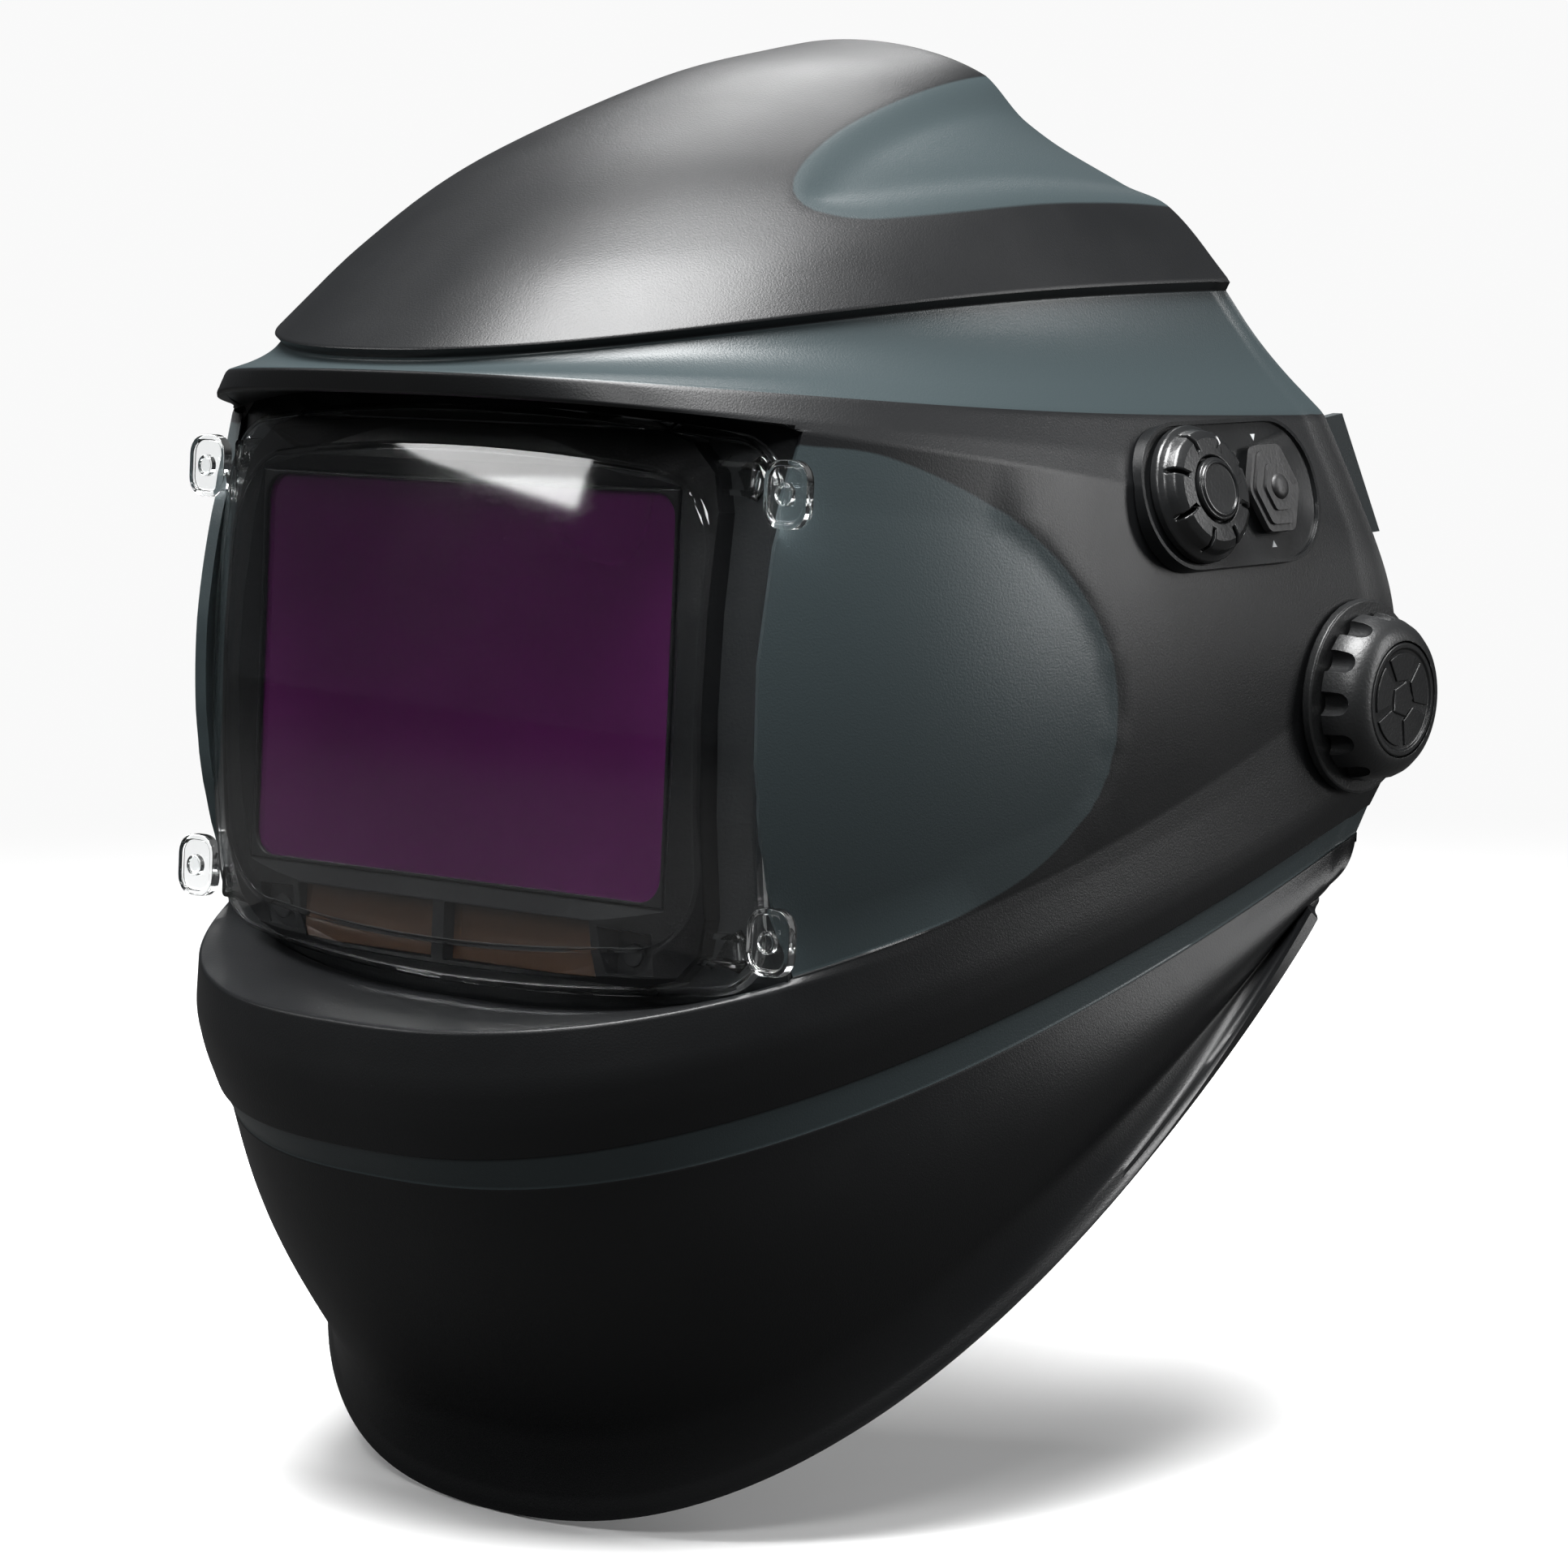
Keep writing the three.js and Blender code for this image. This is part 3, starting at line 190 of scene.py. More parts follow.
# Each stretch of the surface: its two contours, how many rows, its bulge and squareness, and the radius of
# the fold that ends it. The window is in the sixth.
STRETCHES = [
    (None, None, 46, 0, 0, 1.2),
    (CROWN_EDGE, BAND_TOP, 4, 0, 0, 0.6),
    (BAND_TOP, BAND_EDGE, 16, -2, 0, 2.0),
    (BAND_EDGE, BROW_EDGE, 8, 0, 0, 1.5),
    (BROW_EDGE, WINDOW_TOP, 8, 0, 0, 0.8),
    (WINDOW_TOP, WINDOW_LOW, 34, 1.5, 0.4, 0.8),
    (WINDOW_LOW, LEDGE_TOP, 8, 0, 0, 2.0),
    (LEDGE_TOP, LEDGE_LOW, 8, 0, 0, 2.6),
    (LEDGE_LOW, STRIPE_TOP, 10, 0.5, 0, 0.8),
    (STRIPE_TOP, STRIPE_LOW, 6, 0, 0, 0.8),
    (STRIPE_LOW, VALLEY, 30, 3, 0, 3.0),
    (VALLEY, RIM, 14, -1, 0, 0),
]
WINDOW, STRIPE = 5, 9
rows, row_stretch, folds = [], [], []
for number, (a, b, count, bulge, squarer, radius) in enumerate(STRETCHES):
    for i in range(count):
        share = i / count
        if a is None:
            rows.append(crown_row(share))
        else:
            rows.append(a if i == 0 else blend_rows(a, b, share, bulge, squarer))
        row_stretch.append(number)
    folds.append((len(rows), radius))
rows.append(RIM)
row_stretch.append(len(STRETCHES) - 1)
half = np.array([half_row(r) for r in rows])
row_count, half_columns = half.shape[:2]

# Round each fold: the points within its radius, measured down the surface, move to a smooth curve.
steps = np.linalg.norm(np.diff(half, axis=0), axis=2)
run = np.concatenate([np.zeros((1, half_columns)), np.cumsum(steps, axis=0)])
sharp = half.copy()
for row, radius in folds[:-1]:
    for column in range(half_columns):
        s = run[:, column]
        above, below = s[row] - s[max(0, row - 4)], s[min(row + 4, row_count - 1)] - s[row]
        reach = min(radius, 0.45 * above, 0.45 * below)
        if reach < 0.05:
            continue
        along = lambda d: np.array([np.interp(s[row] + d, s, sharp[:, column, k]) for k in range(3)])
        before, at, after = along(-reach), sharp[row, column], along(reach)
        near = max(0, row - 3), min(row_count, row + 4)
        spread = np.linspace(-1, 1, near[1] - near[0])
        for r, d in zip(range(*near), spread):
            t = (d + 1) / 2
            half[r, column] = (1 - t) ** 2 * before + 2 * t * (1 - t) * at + t**2 * after
left = half[:, 1:][:, ::-1] * np.array([-1, 1, 1])
grid = np.concatenate([left, half], axis=1)
column_count = grid.shape[1]


def grid_normals(g):
    down = np.gradient(g, axis=0)
    across = np.gradient(g, axis=1)
    n = np.cross(across, down)
    return -n / np.maximum(np.linalg.norm(n, axis=2, keepdims=True), 1e-9)


def outline_distance(outline, a, b):
    """Signed distance from points (a, b) to a closed outline, positive inside."""
    p = np.stack([a.ravel(), b.ravel()], 1)
    q = np.array(outline, float)
    best = np.full(len(p), 1e9)
    inside = np.zeros(len(p), bool)
    for k in range(len(q)):
        u, v = q[k], q[(k + 1) % len(q)]
        t = np.clip(((p - u) @ (v - u)) / max((v - u) @ (v - u), 1e-9), 0, 1)
        best = np.minimum(best, np.linalg.norm(p - (u + t[:, None] * (v - u)), axis=1))
        crosses = (u[1] > p[:, 1]) != (v[1] > p[:, 1])
        with np.errstate(divide="ignore", invalid="ignore"):
            at = u[0] + (p[:, 1] - u[1]) * (v[0] - u[0]) / (v[1] - u[1])
        inside ^= crosses & (p[:, 0] < at)
    return np.where(inside, best, -best).reshape(a.shape)


# The crown scoops, outlined from above, and the side panels, outlined from the side.
SCOOP = [(38, -38.5), (40.2, -57.7), (42.3, -77.5), (45.3, -100.6), (49.5, -117.8), (53.6, -124.5),
         (59, -123.6), (66.2, -112.4), (72.5, -87.2), (76, -53.5), (77, -20)]
SIDE_PANEL = [(-159, 61.5), (-140.4, 58.3), (-112.9, 45), (-94.3, 27.3), (-85.7, 7.9), (-88.8, -12.7),
              (-103.3, -27.1), (-125.7, -37.2), (-149.1, -44.6), (-159, -47.2)]
scoop_line = [tuple(p) for p in catmull(SCOOP, 70)] + [(77, 30), (38, 30)]
side_line = [tuple(p) for p in catmull(SIDE_PANEL, 70)] + [(-200, -52), (-200, 66)]
X, Y, Z = grid[..., 0], grid[..., 1], grid[..., 2]
stretch_of = np.repeat(np.array(row_stretch)[:, None], column_count, 1)
run_full = np.concatenate([run[:, 1:][:, ::-1], run], axis=1)


def stretch_distance(number):
    """Signed distance down the surface to the nearer end of a stretch, positive inside it."""
    first = row_stretch.index(number)
    after = first + row_stretch.count(number)
    return np.minimum(run_full - run_full[first], run_full[after] - run_full)


scoop = np.where(stretch_of == 0, outline_distance(scoop_line, np.abs(X), Y), -20)
side_panel = np.where(stretch_of == WINDOW, outline_distance(side_line, Y, Z), -20)
side_panel = np.where(np.abs(X) > WINDOW_HALF - 2, side_panel, -20)
panel = np.maximum.reduce([scoop, side_panel, stretch_distance(2) - 0.4, stretch_distance(STRIPE)])
PANEL_REACH = 12
panel = np.clip(panel, -PANEL_REACH, PANEL_REACH)


def ramp(value, low, high):
    t = np.clip((value - low) / (high - low), 0, 1)
    return t * t * (3 - 2 * t)


depth = -1.9 * ramp(scoop, -0.3, 9) - 0.9 * ramp(side_panel, -0.4, 1.6)
depth = depth - 0.35 * ramp(stretch_distance(STRIPE), -0.5, 0.5)
# A thin raised lip follows the rim and the rear edge.
to_rim = run_full[-1] - run_full
to_rear = np.minimum(np.arange(column_count), np.arange(column_count)[::-1])[None, :] * 1.6 + 0 * run_full
lip = np.minimum(to_rim, np.where(stretch_of >= 1, to_rear, 9))
room = ramp(run_full[-1] - run_full[row_stretch.index(len(STRETCHES) - 1)], 5, 14)
room = np.where(lip == to_rim, room, 1)
depth += room * (0.4 * ramp(4.2 - lip, 0, 0.9) - 0.35 * ramp(1.6 - np.abs(lip - 2.1), 0.6, 1.4))
grid += grid_normals(grid) * depth[..., None]

verts = grid.reshape(-1, 3) * MM
centre = column_count // 2
faces = []
for r in range(row_count - 1):
    for c in range(column_count - 1):
        if row_stretch[r] == WINDOW and centre - FRONT_CELLS <= c < centre + FRONT_CELLS:
            continue
        a = r * column_count + c
        faces.append((a, a + column_count, a + column_count + 1, a + 1))


def mesh_piece(name, points, polygons):
    mesh = bpy.data.meshes.new(name)
    mesh.from_pydata([tuple(map(float, p)) for p in points], [], polygons)
    mesh.validate()
    piece = bpy.data.objects.new(name, mesh)
    scene.collection.objects.link(piece)
    return piece


def pick(piece):
    bpy.ops.object.select_all(action="DESELECT")
    piece.select_set(True)
    bpy.context.view_layer.objects.active = piece


def apply_all(piece):
    pick(piece)
    for modifier in list(piece.modifiers):
        bpy.ops.object.modifier_apply(modifier=modifier.name)


def smooth(piece, degrees=32):
    pick(piece)
    bpy.ops.object.shade_smooth_by_angle(angle=math.radians(degrees))
    return piece


def edit_whole(piece, *edits):
    """Runs mesh operators, each with its settings, on the whole of a piece."""
    pick(piece)
    bpy.ops.object.mode_set(mode="EDIT")
    bpy.ops.mesh.select_all(action="SELECT")
    for edit, settings in edits:
        edit(**settings)
    bpy.ops.object.mode_set(mode="OBJECT")


shell = mesh_piece("helmet_shell", verts, faces)
attribute = shell.data.attributes.new("panel", "FLOAT", "POINT")
attribute.data.foreach_set("value", np.asarray(panel, np.float32).ravel())
edit_whole(shell, (bpy.ops.mesh.delete_loose, {}))
wall = shell.modifiers.new("wall", "SOLIDIFY")
wall.thickness = WALL * MM
wall.offset = -1
wall.use_even_offset = False
wall.use_quality_normals = True
apply_all(shell)


def cutter_rod(radius, start, end, sides=48):
    start, end = Vector(start), Vector(end)
    bpy.ops.object.select_all(action="DESELECT")
    bpy.ops.mesh.primitive_cylinder_add(vertices=sides, radius=radius, depth=(end - start).length)
    rod = bpy.context.object
    turn = (end - start).to_track_quat("Z", "Y").to_matrix().to_4x4()
    rod.data.transform(Matrix.Translation((start + end) / 2) @ turn)
    return rod


def bore(piece, rod):
    hole = piece.modifiers.new("hole", "BOOLEAN")
    hole.object = rod
    hole.solver = "EXACT"
    apply_all(piece)
    bpy.data.objects.remove(rod)


PIVOT_HOLE = 4.5 * MM
for side in (1, -1):
    bore(shell, cutter_rod(PIVOT_HOLE, (side * 0.1, 0, 0), (side * 0.125, 0, 0)))
smooth(shell, 40)
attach(shell, "shell_unit")
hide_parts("shell")


def node_group(name, inputs, outputs):
    """A shader node group with float inputs (name, value) and outputs (name, kind)."""
    group = bpy.data.node_groups.new(name, "ShaderNodeTree")
    for label, value in inputs:
        socket = group.interface.new_socket(label, in_out="INPUT", socket_type="NodeSocketFloat")
        socket.default_value = value
    for label, kind in outputs:
        group.interface.new_socket(label, in_out="OUTPUT", socket_type="NodeSocket" + kind)
    return group, group.nodes.new("NodeGroupInput"), group.nodes.new("NodeGroupOutput")


def link_nodes(tree, *pairs):
    for source, target in pairs:
        tree.links.new(source, target)


def set_inputs(node, values):
    for label, value in values.items():
        node.inputs[label].default_value = value


def add_node(tree, kind, values=None, **settings):
    """A shader node with its settings, and the values of its inputs."""
    node = tree.nodes.new("ShaderNode" + kind)
    for label, value in settings.items():
        setattr(node, label, value)
    set_inputs(node, values or {})
    return node


# Moulded grain: a fine even stipple, with broader soft patches that vary its sheen.
grain, grain_in, grain_out = node_group(
    "moulded_grain",
    [("Size", 900.0), ("Depth", 0.25), ("Sheen low", 0.4), ("Sheen high", 0.5)],
    [("Normal", "Vector"), ("Roughness", "Float")],
)
place = add_node(grain, "TexCoord")
stipple = add_node(grain, "TexNoise", {"Detail": 2.0})
patches = add_node(grain, "TexNoise", {"Scale": 22.0, "Detail": 3.0})
bump = add_node(grain, "Bump", {"Distance": 0.0004})
sheen = add_node(grain, "MapRange", {"From Min": 0.3, "From Max": 0.7})
link_nodes(
    grain,
    (place.outputs["Object"], stipple.inputs["Vector"]),
    (place.outputs["Object"], patches.inputs["Vector"]),
    (grain_in.outputs["Size"], stipple.inputs["Scale"]),
    (grain_in.outputs["Depth"], bump.inputs["Strength"]),
    (stipple.outputs["Fac"], bump.inputs["Height"]),
    (patches.outputs["Fac"], sheen.inputs["Value"]),
    (grain_in.outputs["Sheen low"], sheen.inputs["To Min"]),
    (grain_in.outputs["Sheen high"], sheen.inputs["To Max"]),
    (bump.outputs["Normal"], grain_out.inputs["Normal"]),
    (sheen.outputs["Result"], grain_out.inputs["Roughness"]),
)

# Handling marks: sparse faint rubbing, as a mask for the colour.
rubbed, rubbed_in, rubbed_out = node_group(
    "handling_marks", [("Amount", 0.5), ("Size", 60.0)], [("Mask", "Float")]
)
place = add_node(rubbed, "TexCoord")
streaks = add_node(rubbed, "TexNoise", {"Detail": 5.0, "Distortion": 0.6})
rise = add_node(rubbed, "MapRange", {"From Min": 0.56, "From Max": 0.78})
scale_mask = add_node(rubbed, "Math", operation="MULTIPLY")
link_nodes(
    rubbed,
    (place.outputs["Object"], streaks.inputs["Vector"]),
    (rubbed_in.outputs["Size"], streaks.inputs["Scale"]),
    (streaks.outputs["Fac"], rise.inputs["Value"]),
    (rise.outputs["Result"], scale_mask.inputs[0]),
    (rubbed_in.outputs["Amount"], scale_mask.inputs[1]),
    (scale_mask.outputs["Value"], rubbed_out.inputs["Mask"]),
)


def new_material(name):
    material = bpy.data.materials.new(name)
    material.use_nodes = True
    return material, material.node_tree, material.node_tree.nodes["Principled BSDF"]


def moulded(name, color, worn, size=900.0, depth=0.25, low=0.4, high=0.5, specular=0.5):
    """Moulded plastic: grain for the normal, patchy sheen, and handling marks that lighten the colour."""
    material, tree, surface = new_material(name)
    texture = add_node(tree, "Group", node_tree=grain)
    set_inputs(texture, {"Size": size, "Depth": depth, "Sheen low": low, "Sheen high": high})
    marks = add_node(tree, "Group", {"Amount": 0.5, "Size": 60.0}, node_tree=rubbed)
    tint = add_node(tree, "Mix", {"A": (*color, 1), "B": (*worn, 1)}, data_type="RGBA")
    link_nodes(
        tree,
        (marks.outputs["Mask"], tint.inputs["Factor"]),
        (tint.outputs["Result"], surface.inputs["Base Color"]),
        (texture.outputs["Normal"], surface.inputs["Normal"]),
        (texture.outputs["Roughness"], surface.inputs["Roughness"]),
    )
    surface.inputs["Specular IOR Level"].default_value = specular
    return material, tree, surface, texture, tint


def give(piece, material):
    piece.data.materials.clear()
    piece.data.materials.append(material)
    for polygon in piece.data.polygons:
        polygon.material_index = 0


shell_finish, tree, surface, texture, tint = moulded(
    "textured_black_nylon", (0.0058, 0.0062, 0.0068), (0.0080, 0.0085, 0.0092), 2300.0, 0.12, 0.35, 0.43, 0.35
)
edge = add_node(tree, "Attribute", attribute_name="panel")
inside = add_node(tree, "MapRange", {"From Min": -0.25, "From Max": 0.25})
slate = add_node(tree, "Mix", {"B": (0.029, 0.039, 0.042, 1)}, data_type="RGBA")
satin = add_node(tree, "Mix", {"B": 0.33}, data_type="FLOAT")
link_nodes(
    tree,
    (edge.outputs["Fac"], inside.inputs["Value"]),
    (inside.outputs["Result"], slate.inputs["Factor"]),
    (tint.outputs["Result"], slate.inputs["A"]),
    (slate.outputs["Result"], surface.inputs["Base Color"]),
    (inside.outputs["Result"], satin.inputs["Factor"]),
    (texture.outputs["Roughness"], satin.inputs["A"]),
    (satin.outputs["Result"], surface.inputs["Roughness"]),
)
give(shell, shell_finish)

# ------------------------------------------------
# Cover lens. A clear polycarbonate sheet, bulged forwards, with a skirt that turns back round its edge. Four
# spring tabs with a raised pip hold it to the window, and open ribs stiffen its corners.
# ------------------------------------------------
LENS_HALF, LENS_TOP, LENS_LOW, LENS_BOW, LENS_CORNER = 81, 53.5, 59, 5.5, 12
LENS_FRONT, SIDE_RISE, TOP_RISE, LENS_SKIRT, LENS_WALL, LENS_FOLD = -13.8, 11.8, 5.1, 7, 2, 2.4
TAB_REACH, TAB_HEIGHT, TAB_THICK, TAB_UP, TAB_LOW = 11.5, 14, 2.5, 43, -47.5
filter_frame = Matrix.Translation((0, -0.1702, 0.0091)) @ Matrix.Rotation(-math.radians(3.9), 4, "X")


def bowed_outline(half, top, low, bow, corner, long=30, short=22, arc=12):
    """A rounded rectangle whose top and bottom bow outwards, anticlockwise from its lower left."""
    w, t, b = half - corner, top - corner, corner - low
    points = []

    def line(start, end, count):
        for i in range(count):
            points.append([s + (e - s) * i / count for s, e in zip(start, end)])

    def turn(x, z, quarter):
        for i in range(arc):
            angle = (quarter + i / arc) * math.pi / 2
            points.append([x + corner * math.cos(angle), z + corner * math.sin(angle)])

    line((-w, -low), (w, -low), long)
    turn(w, b, 3)
    line((half, b), (half, t), short)
    turn(w, t, 0)
    line((w, top), (-w, top), long)
    turn(-w, t, 1)
    line((-half, t), (-half, b), short)
    turn(-w, b, 2)
    middle = (top - low) / 2
    for p in points:
        p[1] += (p[1] - middle) / (top - middle) * bow * (1 - (p[0] / half) ** 2)
    return np.array(points)


def lens_depth(x, z):
    return LENS_FRONT + SIDE_RISE * (x / LENS_HALF) ** 2 + TOP_RISE * (z / LENS_TOP) ** 2


lens_outline = bowed_outline(LENS_HALF, LENS_TOP, LENS_LOW, LENS_BOW, LENS_CORNER)
panel_outline = bowed_outline(69.5, 45, 50.5, 5, 15)
BORDER_STEP, BORDER_FALL = 0.9, 2.4  # the step round the clear panel, and the fall of the border outside it
loops = [(panel_outline * share, 0) for share in np.linspace(0.06, 1, 16)]
step_edge = panel_outline * 1.012
loops += [(panel_outline * 1.006, 0.3), (step_edge, BORDER_STEP)]
border_edge = lens_outline * (1 - LENS_FOLD / LENS_HALF)
for share in (0.06, 0.25, 0.5, 0.75, 0.94, 1):
    loops.append((step_edge * (1 - share) + border_edge * share, BORDER_STEP + BORDER_FALL * share))
for a in np.linspace(0, math.pi / 2, 7)[1:]:
    reach = 1 - LENS_FOLD * (1 - math.sin(a)) / LENS_HALF
    loops.append((lens_outline * reach, BORDER_STEP + BORDER_FALL + LENS_FOLD * (1 - math.cos(a))))
loops.append((lens_outline, LENS_SKIRT))
points, faces = [], []
for loop, back in loops:
    points += [(x, lens_depth(x, z) + back, z) for x, z in loop]
ring = len(lens_outline)
for r in range(len(loops) - 1):
    for c in range(ring):
        d = (c + 1) % ring
        faces.append((r * ring + c, r * ring + d, (r + 1) * ring + d, (r + 1) * ring + c))
faces.append(tuple(range(ring))[::-1])
lens = mesh_piece("cover_lens_sheet", np.array(points) * MM, faces)
edit_whole(lens, (bpy.ops.mesh.normals_make_consistent, {"inside": False}))
if lens.data.polygons[len(faces) - 1].normal.y > 0:
    lens.data.flip_normals()
wall = lens.modifiers.new("wall", "SOLIDIFY")
wall.thickness = LENS_WALL * MM
wall.offset = -1
apply_all(lens)
lens.data.transform(filter_frame)
smooth(lens, 35)
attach(lens, "shell_unit")
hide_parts("cover_lens")


def add_block(name, size, place, corner=0.0, axis="Y", segments=6):
    """A box in millimetres, with the four edges along an axis rounded."""
    bpy.ops.object.select_all(action="DESELECT")
    bpy.ops.mesh.primitive_cube_add(size=1)
    piece = bpy.context.object
    piece.name = name
    piece.data.transform(Matrix.Diagonal((*[s * MM for s in size], 1)))
    if corner:
        index = "XYZ".index(axis)
        bpy.ops.object.mode_set(mode="EDIT")
        form = bmesh.from_edit_mesh(piece.data)
        for f in form.faces:
            f.select = False
        for e in form.edges:
            way = (e.verts[1].co - e.verts[0].co).normalized()
            e.select_set(abs(way[index]) > 0.99)
        bmesh.update_edit_mesh(piece.data)
        bpy.ops.mesh.bevel(offset=corner * MM, segments=segments)
        bpy.ops.object.mode_set(mode="OBJECT")
    piece.data.transform(Matrix.Translation([p * MM for p in place]))
    return piece


def round_edges(piece, width, segments=2, angle=30):
    """Smooth shading, with every edge sharper than the angle rounded."""
    smooth(piece, angle)
    edge = piece.modifiers.new("edge", "BEVEL")
    edge.width = width * MM
    edge.segments = segments
    edge.limit_method = "ANGLE"
    edge.angle_limit = math.radians(angle)
    edge.harden_normals = True
    apply_all(piece)
    return piece


def dish(piece, axis, sign, margin, depth):
    """Insets the flat face that looks along an axis, and sinks it."""
    pick(piece)
    bpy.ops.object.mode_set(mode="EDIT")
    bpy.ops.mesh.select_all(action="DESELECT")
    form = bmesh.from_edit_mesh(piece.data)
    face = max(form.faces, key=lambda f: f.normal["XYZ".index(axis)] * sign * f.calc_area())
    face.select_set(True)
    bmesh.update_edit_mesh(piece.data)
    bpy.ops.mesh.inset(thickness=margin * MM)
    bpy.ops.mesh.inset(thickness=0.3 * MM, depth=-depth * MM)
    bpy.ops.object.mode_set(mode="OBJECT")


def join_pieces(name, pieces):
    bpy.ops.object.select_all(action="DESELECT")
    for piece in pieces:
        piece.select_set(True)
    bpy.context.view_layer.objects.active = pieces[0]
    if len(pieces) > 1:
        bpy.ops.object.join()
    pieces[0].name = name
    return pieces[0]


clear_pieces = [lens]
for side, name in ((1, "left"), (-1, "right")):
    tabs = []
    for z in (TAB_UP, TAB_LOW):
        face = lens_depth(LENS_HALF, z) + LENS_WALL / 2
        middle = side * (LENS_HALF + TAB_REACH / 2 - 1.4)
        tab = add_block("tab", (TAB_REACH, TAB_THICK, TAB_HEIGHT), (middle, face + TAB_THICK / 2, z), 4.5)
        dish(tab, "Y", -1, 1.1, 0.7)
        round_edges(tab, 0.3, 2, 40)
        root, tip = (Vector((middle, face + out, z)) * MM for out in (0.8, -0.5))
        pip = cutter_rod(2.4 * MM, root, tip, 32)
        dish(pip, "Y", -1, 0.5, 0.3)
        round_edges(pip, 0.2, 2, 40)
        place = (side * (LENS_HALF - 9.6), lens_depth(LENS_HALF, z) + 4.2, z * 1.06)
        rib = add_block("rib", (11, 5, 7), place, 1.2)
        dish(rib, "Y", -1, 1.2, 3.2)
        round_edges(rib, 0.25, 2, 40)
        tabs += [tab, pip, rib]
    tabs = join_pieces(f"cover_lens_tabs_{name}", tabs)
    tabs.data.transform(filter_frame)
    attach(tabs, "shell_unit")
    clear_pieces.append(tabs)


def clear_plastic(name, color, roughness, smears):
    """Clear polycarbonate that lets the light of the lamps through, with faint smears in its gloss."""
    material, tree, surface = new_material(name)
    set_inputs(surface, {"Base Color": (*color, 1), "Transmission Weight": 1.0, "IOR": 1.5})
    place = add_node(tree, "TexCoord")
    smear = add_node(tree, "TexNoise", {"Scale": 18.0, "Detail": 4.0})
    gloss = add_node(
        tree,
        "MapRange",
        {"From Min": 0.35, "From Max": 0.75, "To Min": roughness, "To Max": roughness + smears},
    )
    passing = add_node(tree, "BsdfTransparent", {"Color": (0.9, 0.91, 0.91, 1)})
    rays = add_node(tree, "LightPath")
    either = add_node(tree, "MixShader")
    out = tree.nodes["Material Output"]
    link_nodes(
        tree,
        (place.outputs["Object"], smear.inputs["Vector"]),
        (smear.outputs["Fac"], gloss.inputs["Value"]),
        (gloss.outputs["Result"], surface.inputs["Roughness"]),
        (rays.outputs["Is Shadow Ray"], either.inputs["Fac"]),
        (surface.outputs["BSDF"], either.inputs[1]),
        (passing.outputs["BSDF"], either.inputs[2]),
        (either.outputs["Shader"], out.inputs["Surface"]),
    )
    return material


clear_finish = clear_plastic("clear_polycarbonate", (0.97, 0.985, 0.985), 0.02, 0.05)
for piece in clear_pieces:
    give(piece, clear_finish)

# ------------------------------------------------
# Filter cartridge. A black moulded housing, clipped into a holder behind the window, with the dark purple
# shutter glass, two brown solar cells, two arc sensors, the board and two battery trays with coin cells.
# ------------------------------------------------


def refined(node, width, segments=2, angle=30, name=None):
    """The CAD node's own shape as one clean mesh, with its edges rounded, in place of the node."""
    bpy.ops.object.select_all(action="DESELECT")
    piece = bpy.data.objects.new(name or node + "_moulding", nodes[node].data.copy())
    scene.collection.objects.link(piece)
    edit_whole(
        piece,
        (bpy.ops.mesh.remove_doubles, {"threshold": 0.02 * MM}),
        (bpy.ops.mesh.dissolve_limited, {"angle_limit": math.radians(1.5)}),
    )
    if width:
        round_edges(piece, width, segments, angle)
    else:
        smooth(piece, angle)
    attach(piece, body_of(nodes[node])[0])
    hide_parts(node)
    return piece


housing_finish = moulded(
    "satin_black_housing", (0.0035, 0.0037, 0.004), (0.006, 0.0063, 0.0067), 1500.0, 0.12, 0.3, 0.42, 0.12
)[0]
holder_finish = moulded(
    "dark_grey_holder", (0.008, 0.0088, 0.0095), (0.012, 0.013, 0.014), 1300.0, 0.16, 0.34, 0.46, 0.2
)[0]
give(refined("filter_housing", 0.5, 3, 25), housing_finish)
holder = refined("filter_holder", 0)
HOLDER_HALF = 83.5 * MM  # it stays inside the shell's wall
for v in holder.data.vertices:
    v.co.x = max(-HOLDER_HALF, min(HOLDER_HALF, v.co.x))
give(holder, holder_finish)
give(refined("retaining_frame", 0.5), holder_finish)
for side in ("left", "right"):
    give(refined(f"battery_tray_{side}", 0.3), housing_finish)
    give(refined(f"arc_sensor_{side}", 0.3), housing_finish)

# A thin mask in front of the glass rounds the corners of the clear view.
VIEW_WIDTH, VIEW_HEIGHT, VIEW_CORNER = 120, 84, 6
MASK_FRONT, MASK_BACK, MASK_MARGIN = -1.4, -0.2, 0.8
corner_steps = [
    (sx * (VIEW_WIDTH / 2 - VIEW_CORNER), sz * (VIEW_HEIGHT / 2 - VIEW_CORNER), quarter)
    for sx, sz, quarter in ((1, 1, 0), (-1, 1, 1), (-1, -1, 2), (1, -1, 3))
]
opening, outside = [], []
for x, z, quarter in corner_steps:
    for a in np.linspace(quarter, quarter + 1, 11) * math.pi / 2:
        opening.append((x + VIEW_CORNER * math.cos(a), z + VIEW_CORNER * math.sin(a)))
        corner = (VIEW_WIDTH / 2 + MASK_MARGIN, VIEW_HEIGHT / 2 + MASK_MARGIN)
        outside.append((math.copysign(corner[0], x), math.copysign(corner[1], z)))
points = [(x, y, z) for y in (MASK_FRONT, MASK_BACK) for loop in (opening, outside) for x, z in loop]
count = len(opening)
faces = []
for i in range(count):
    j = (i + 1) % count
    faces += [
        (i, j, count + j, count + i),
        (3 * count + i, 3 * count + j, 2 * count + j, 2 * count + i),
        (2 * count + i, 2 * count + j, j, i),
        (count + i, count + j, 3 * count + j, 3 * count + i),
    ]
mask = mesh_piece("view_mask", np.array(points) * MM, faces)
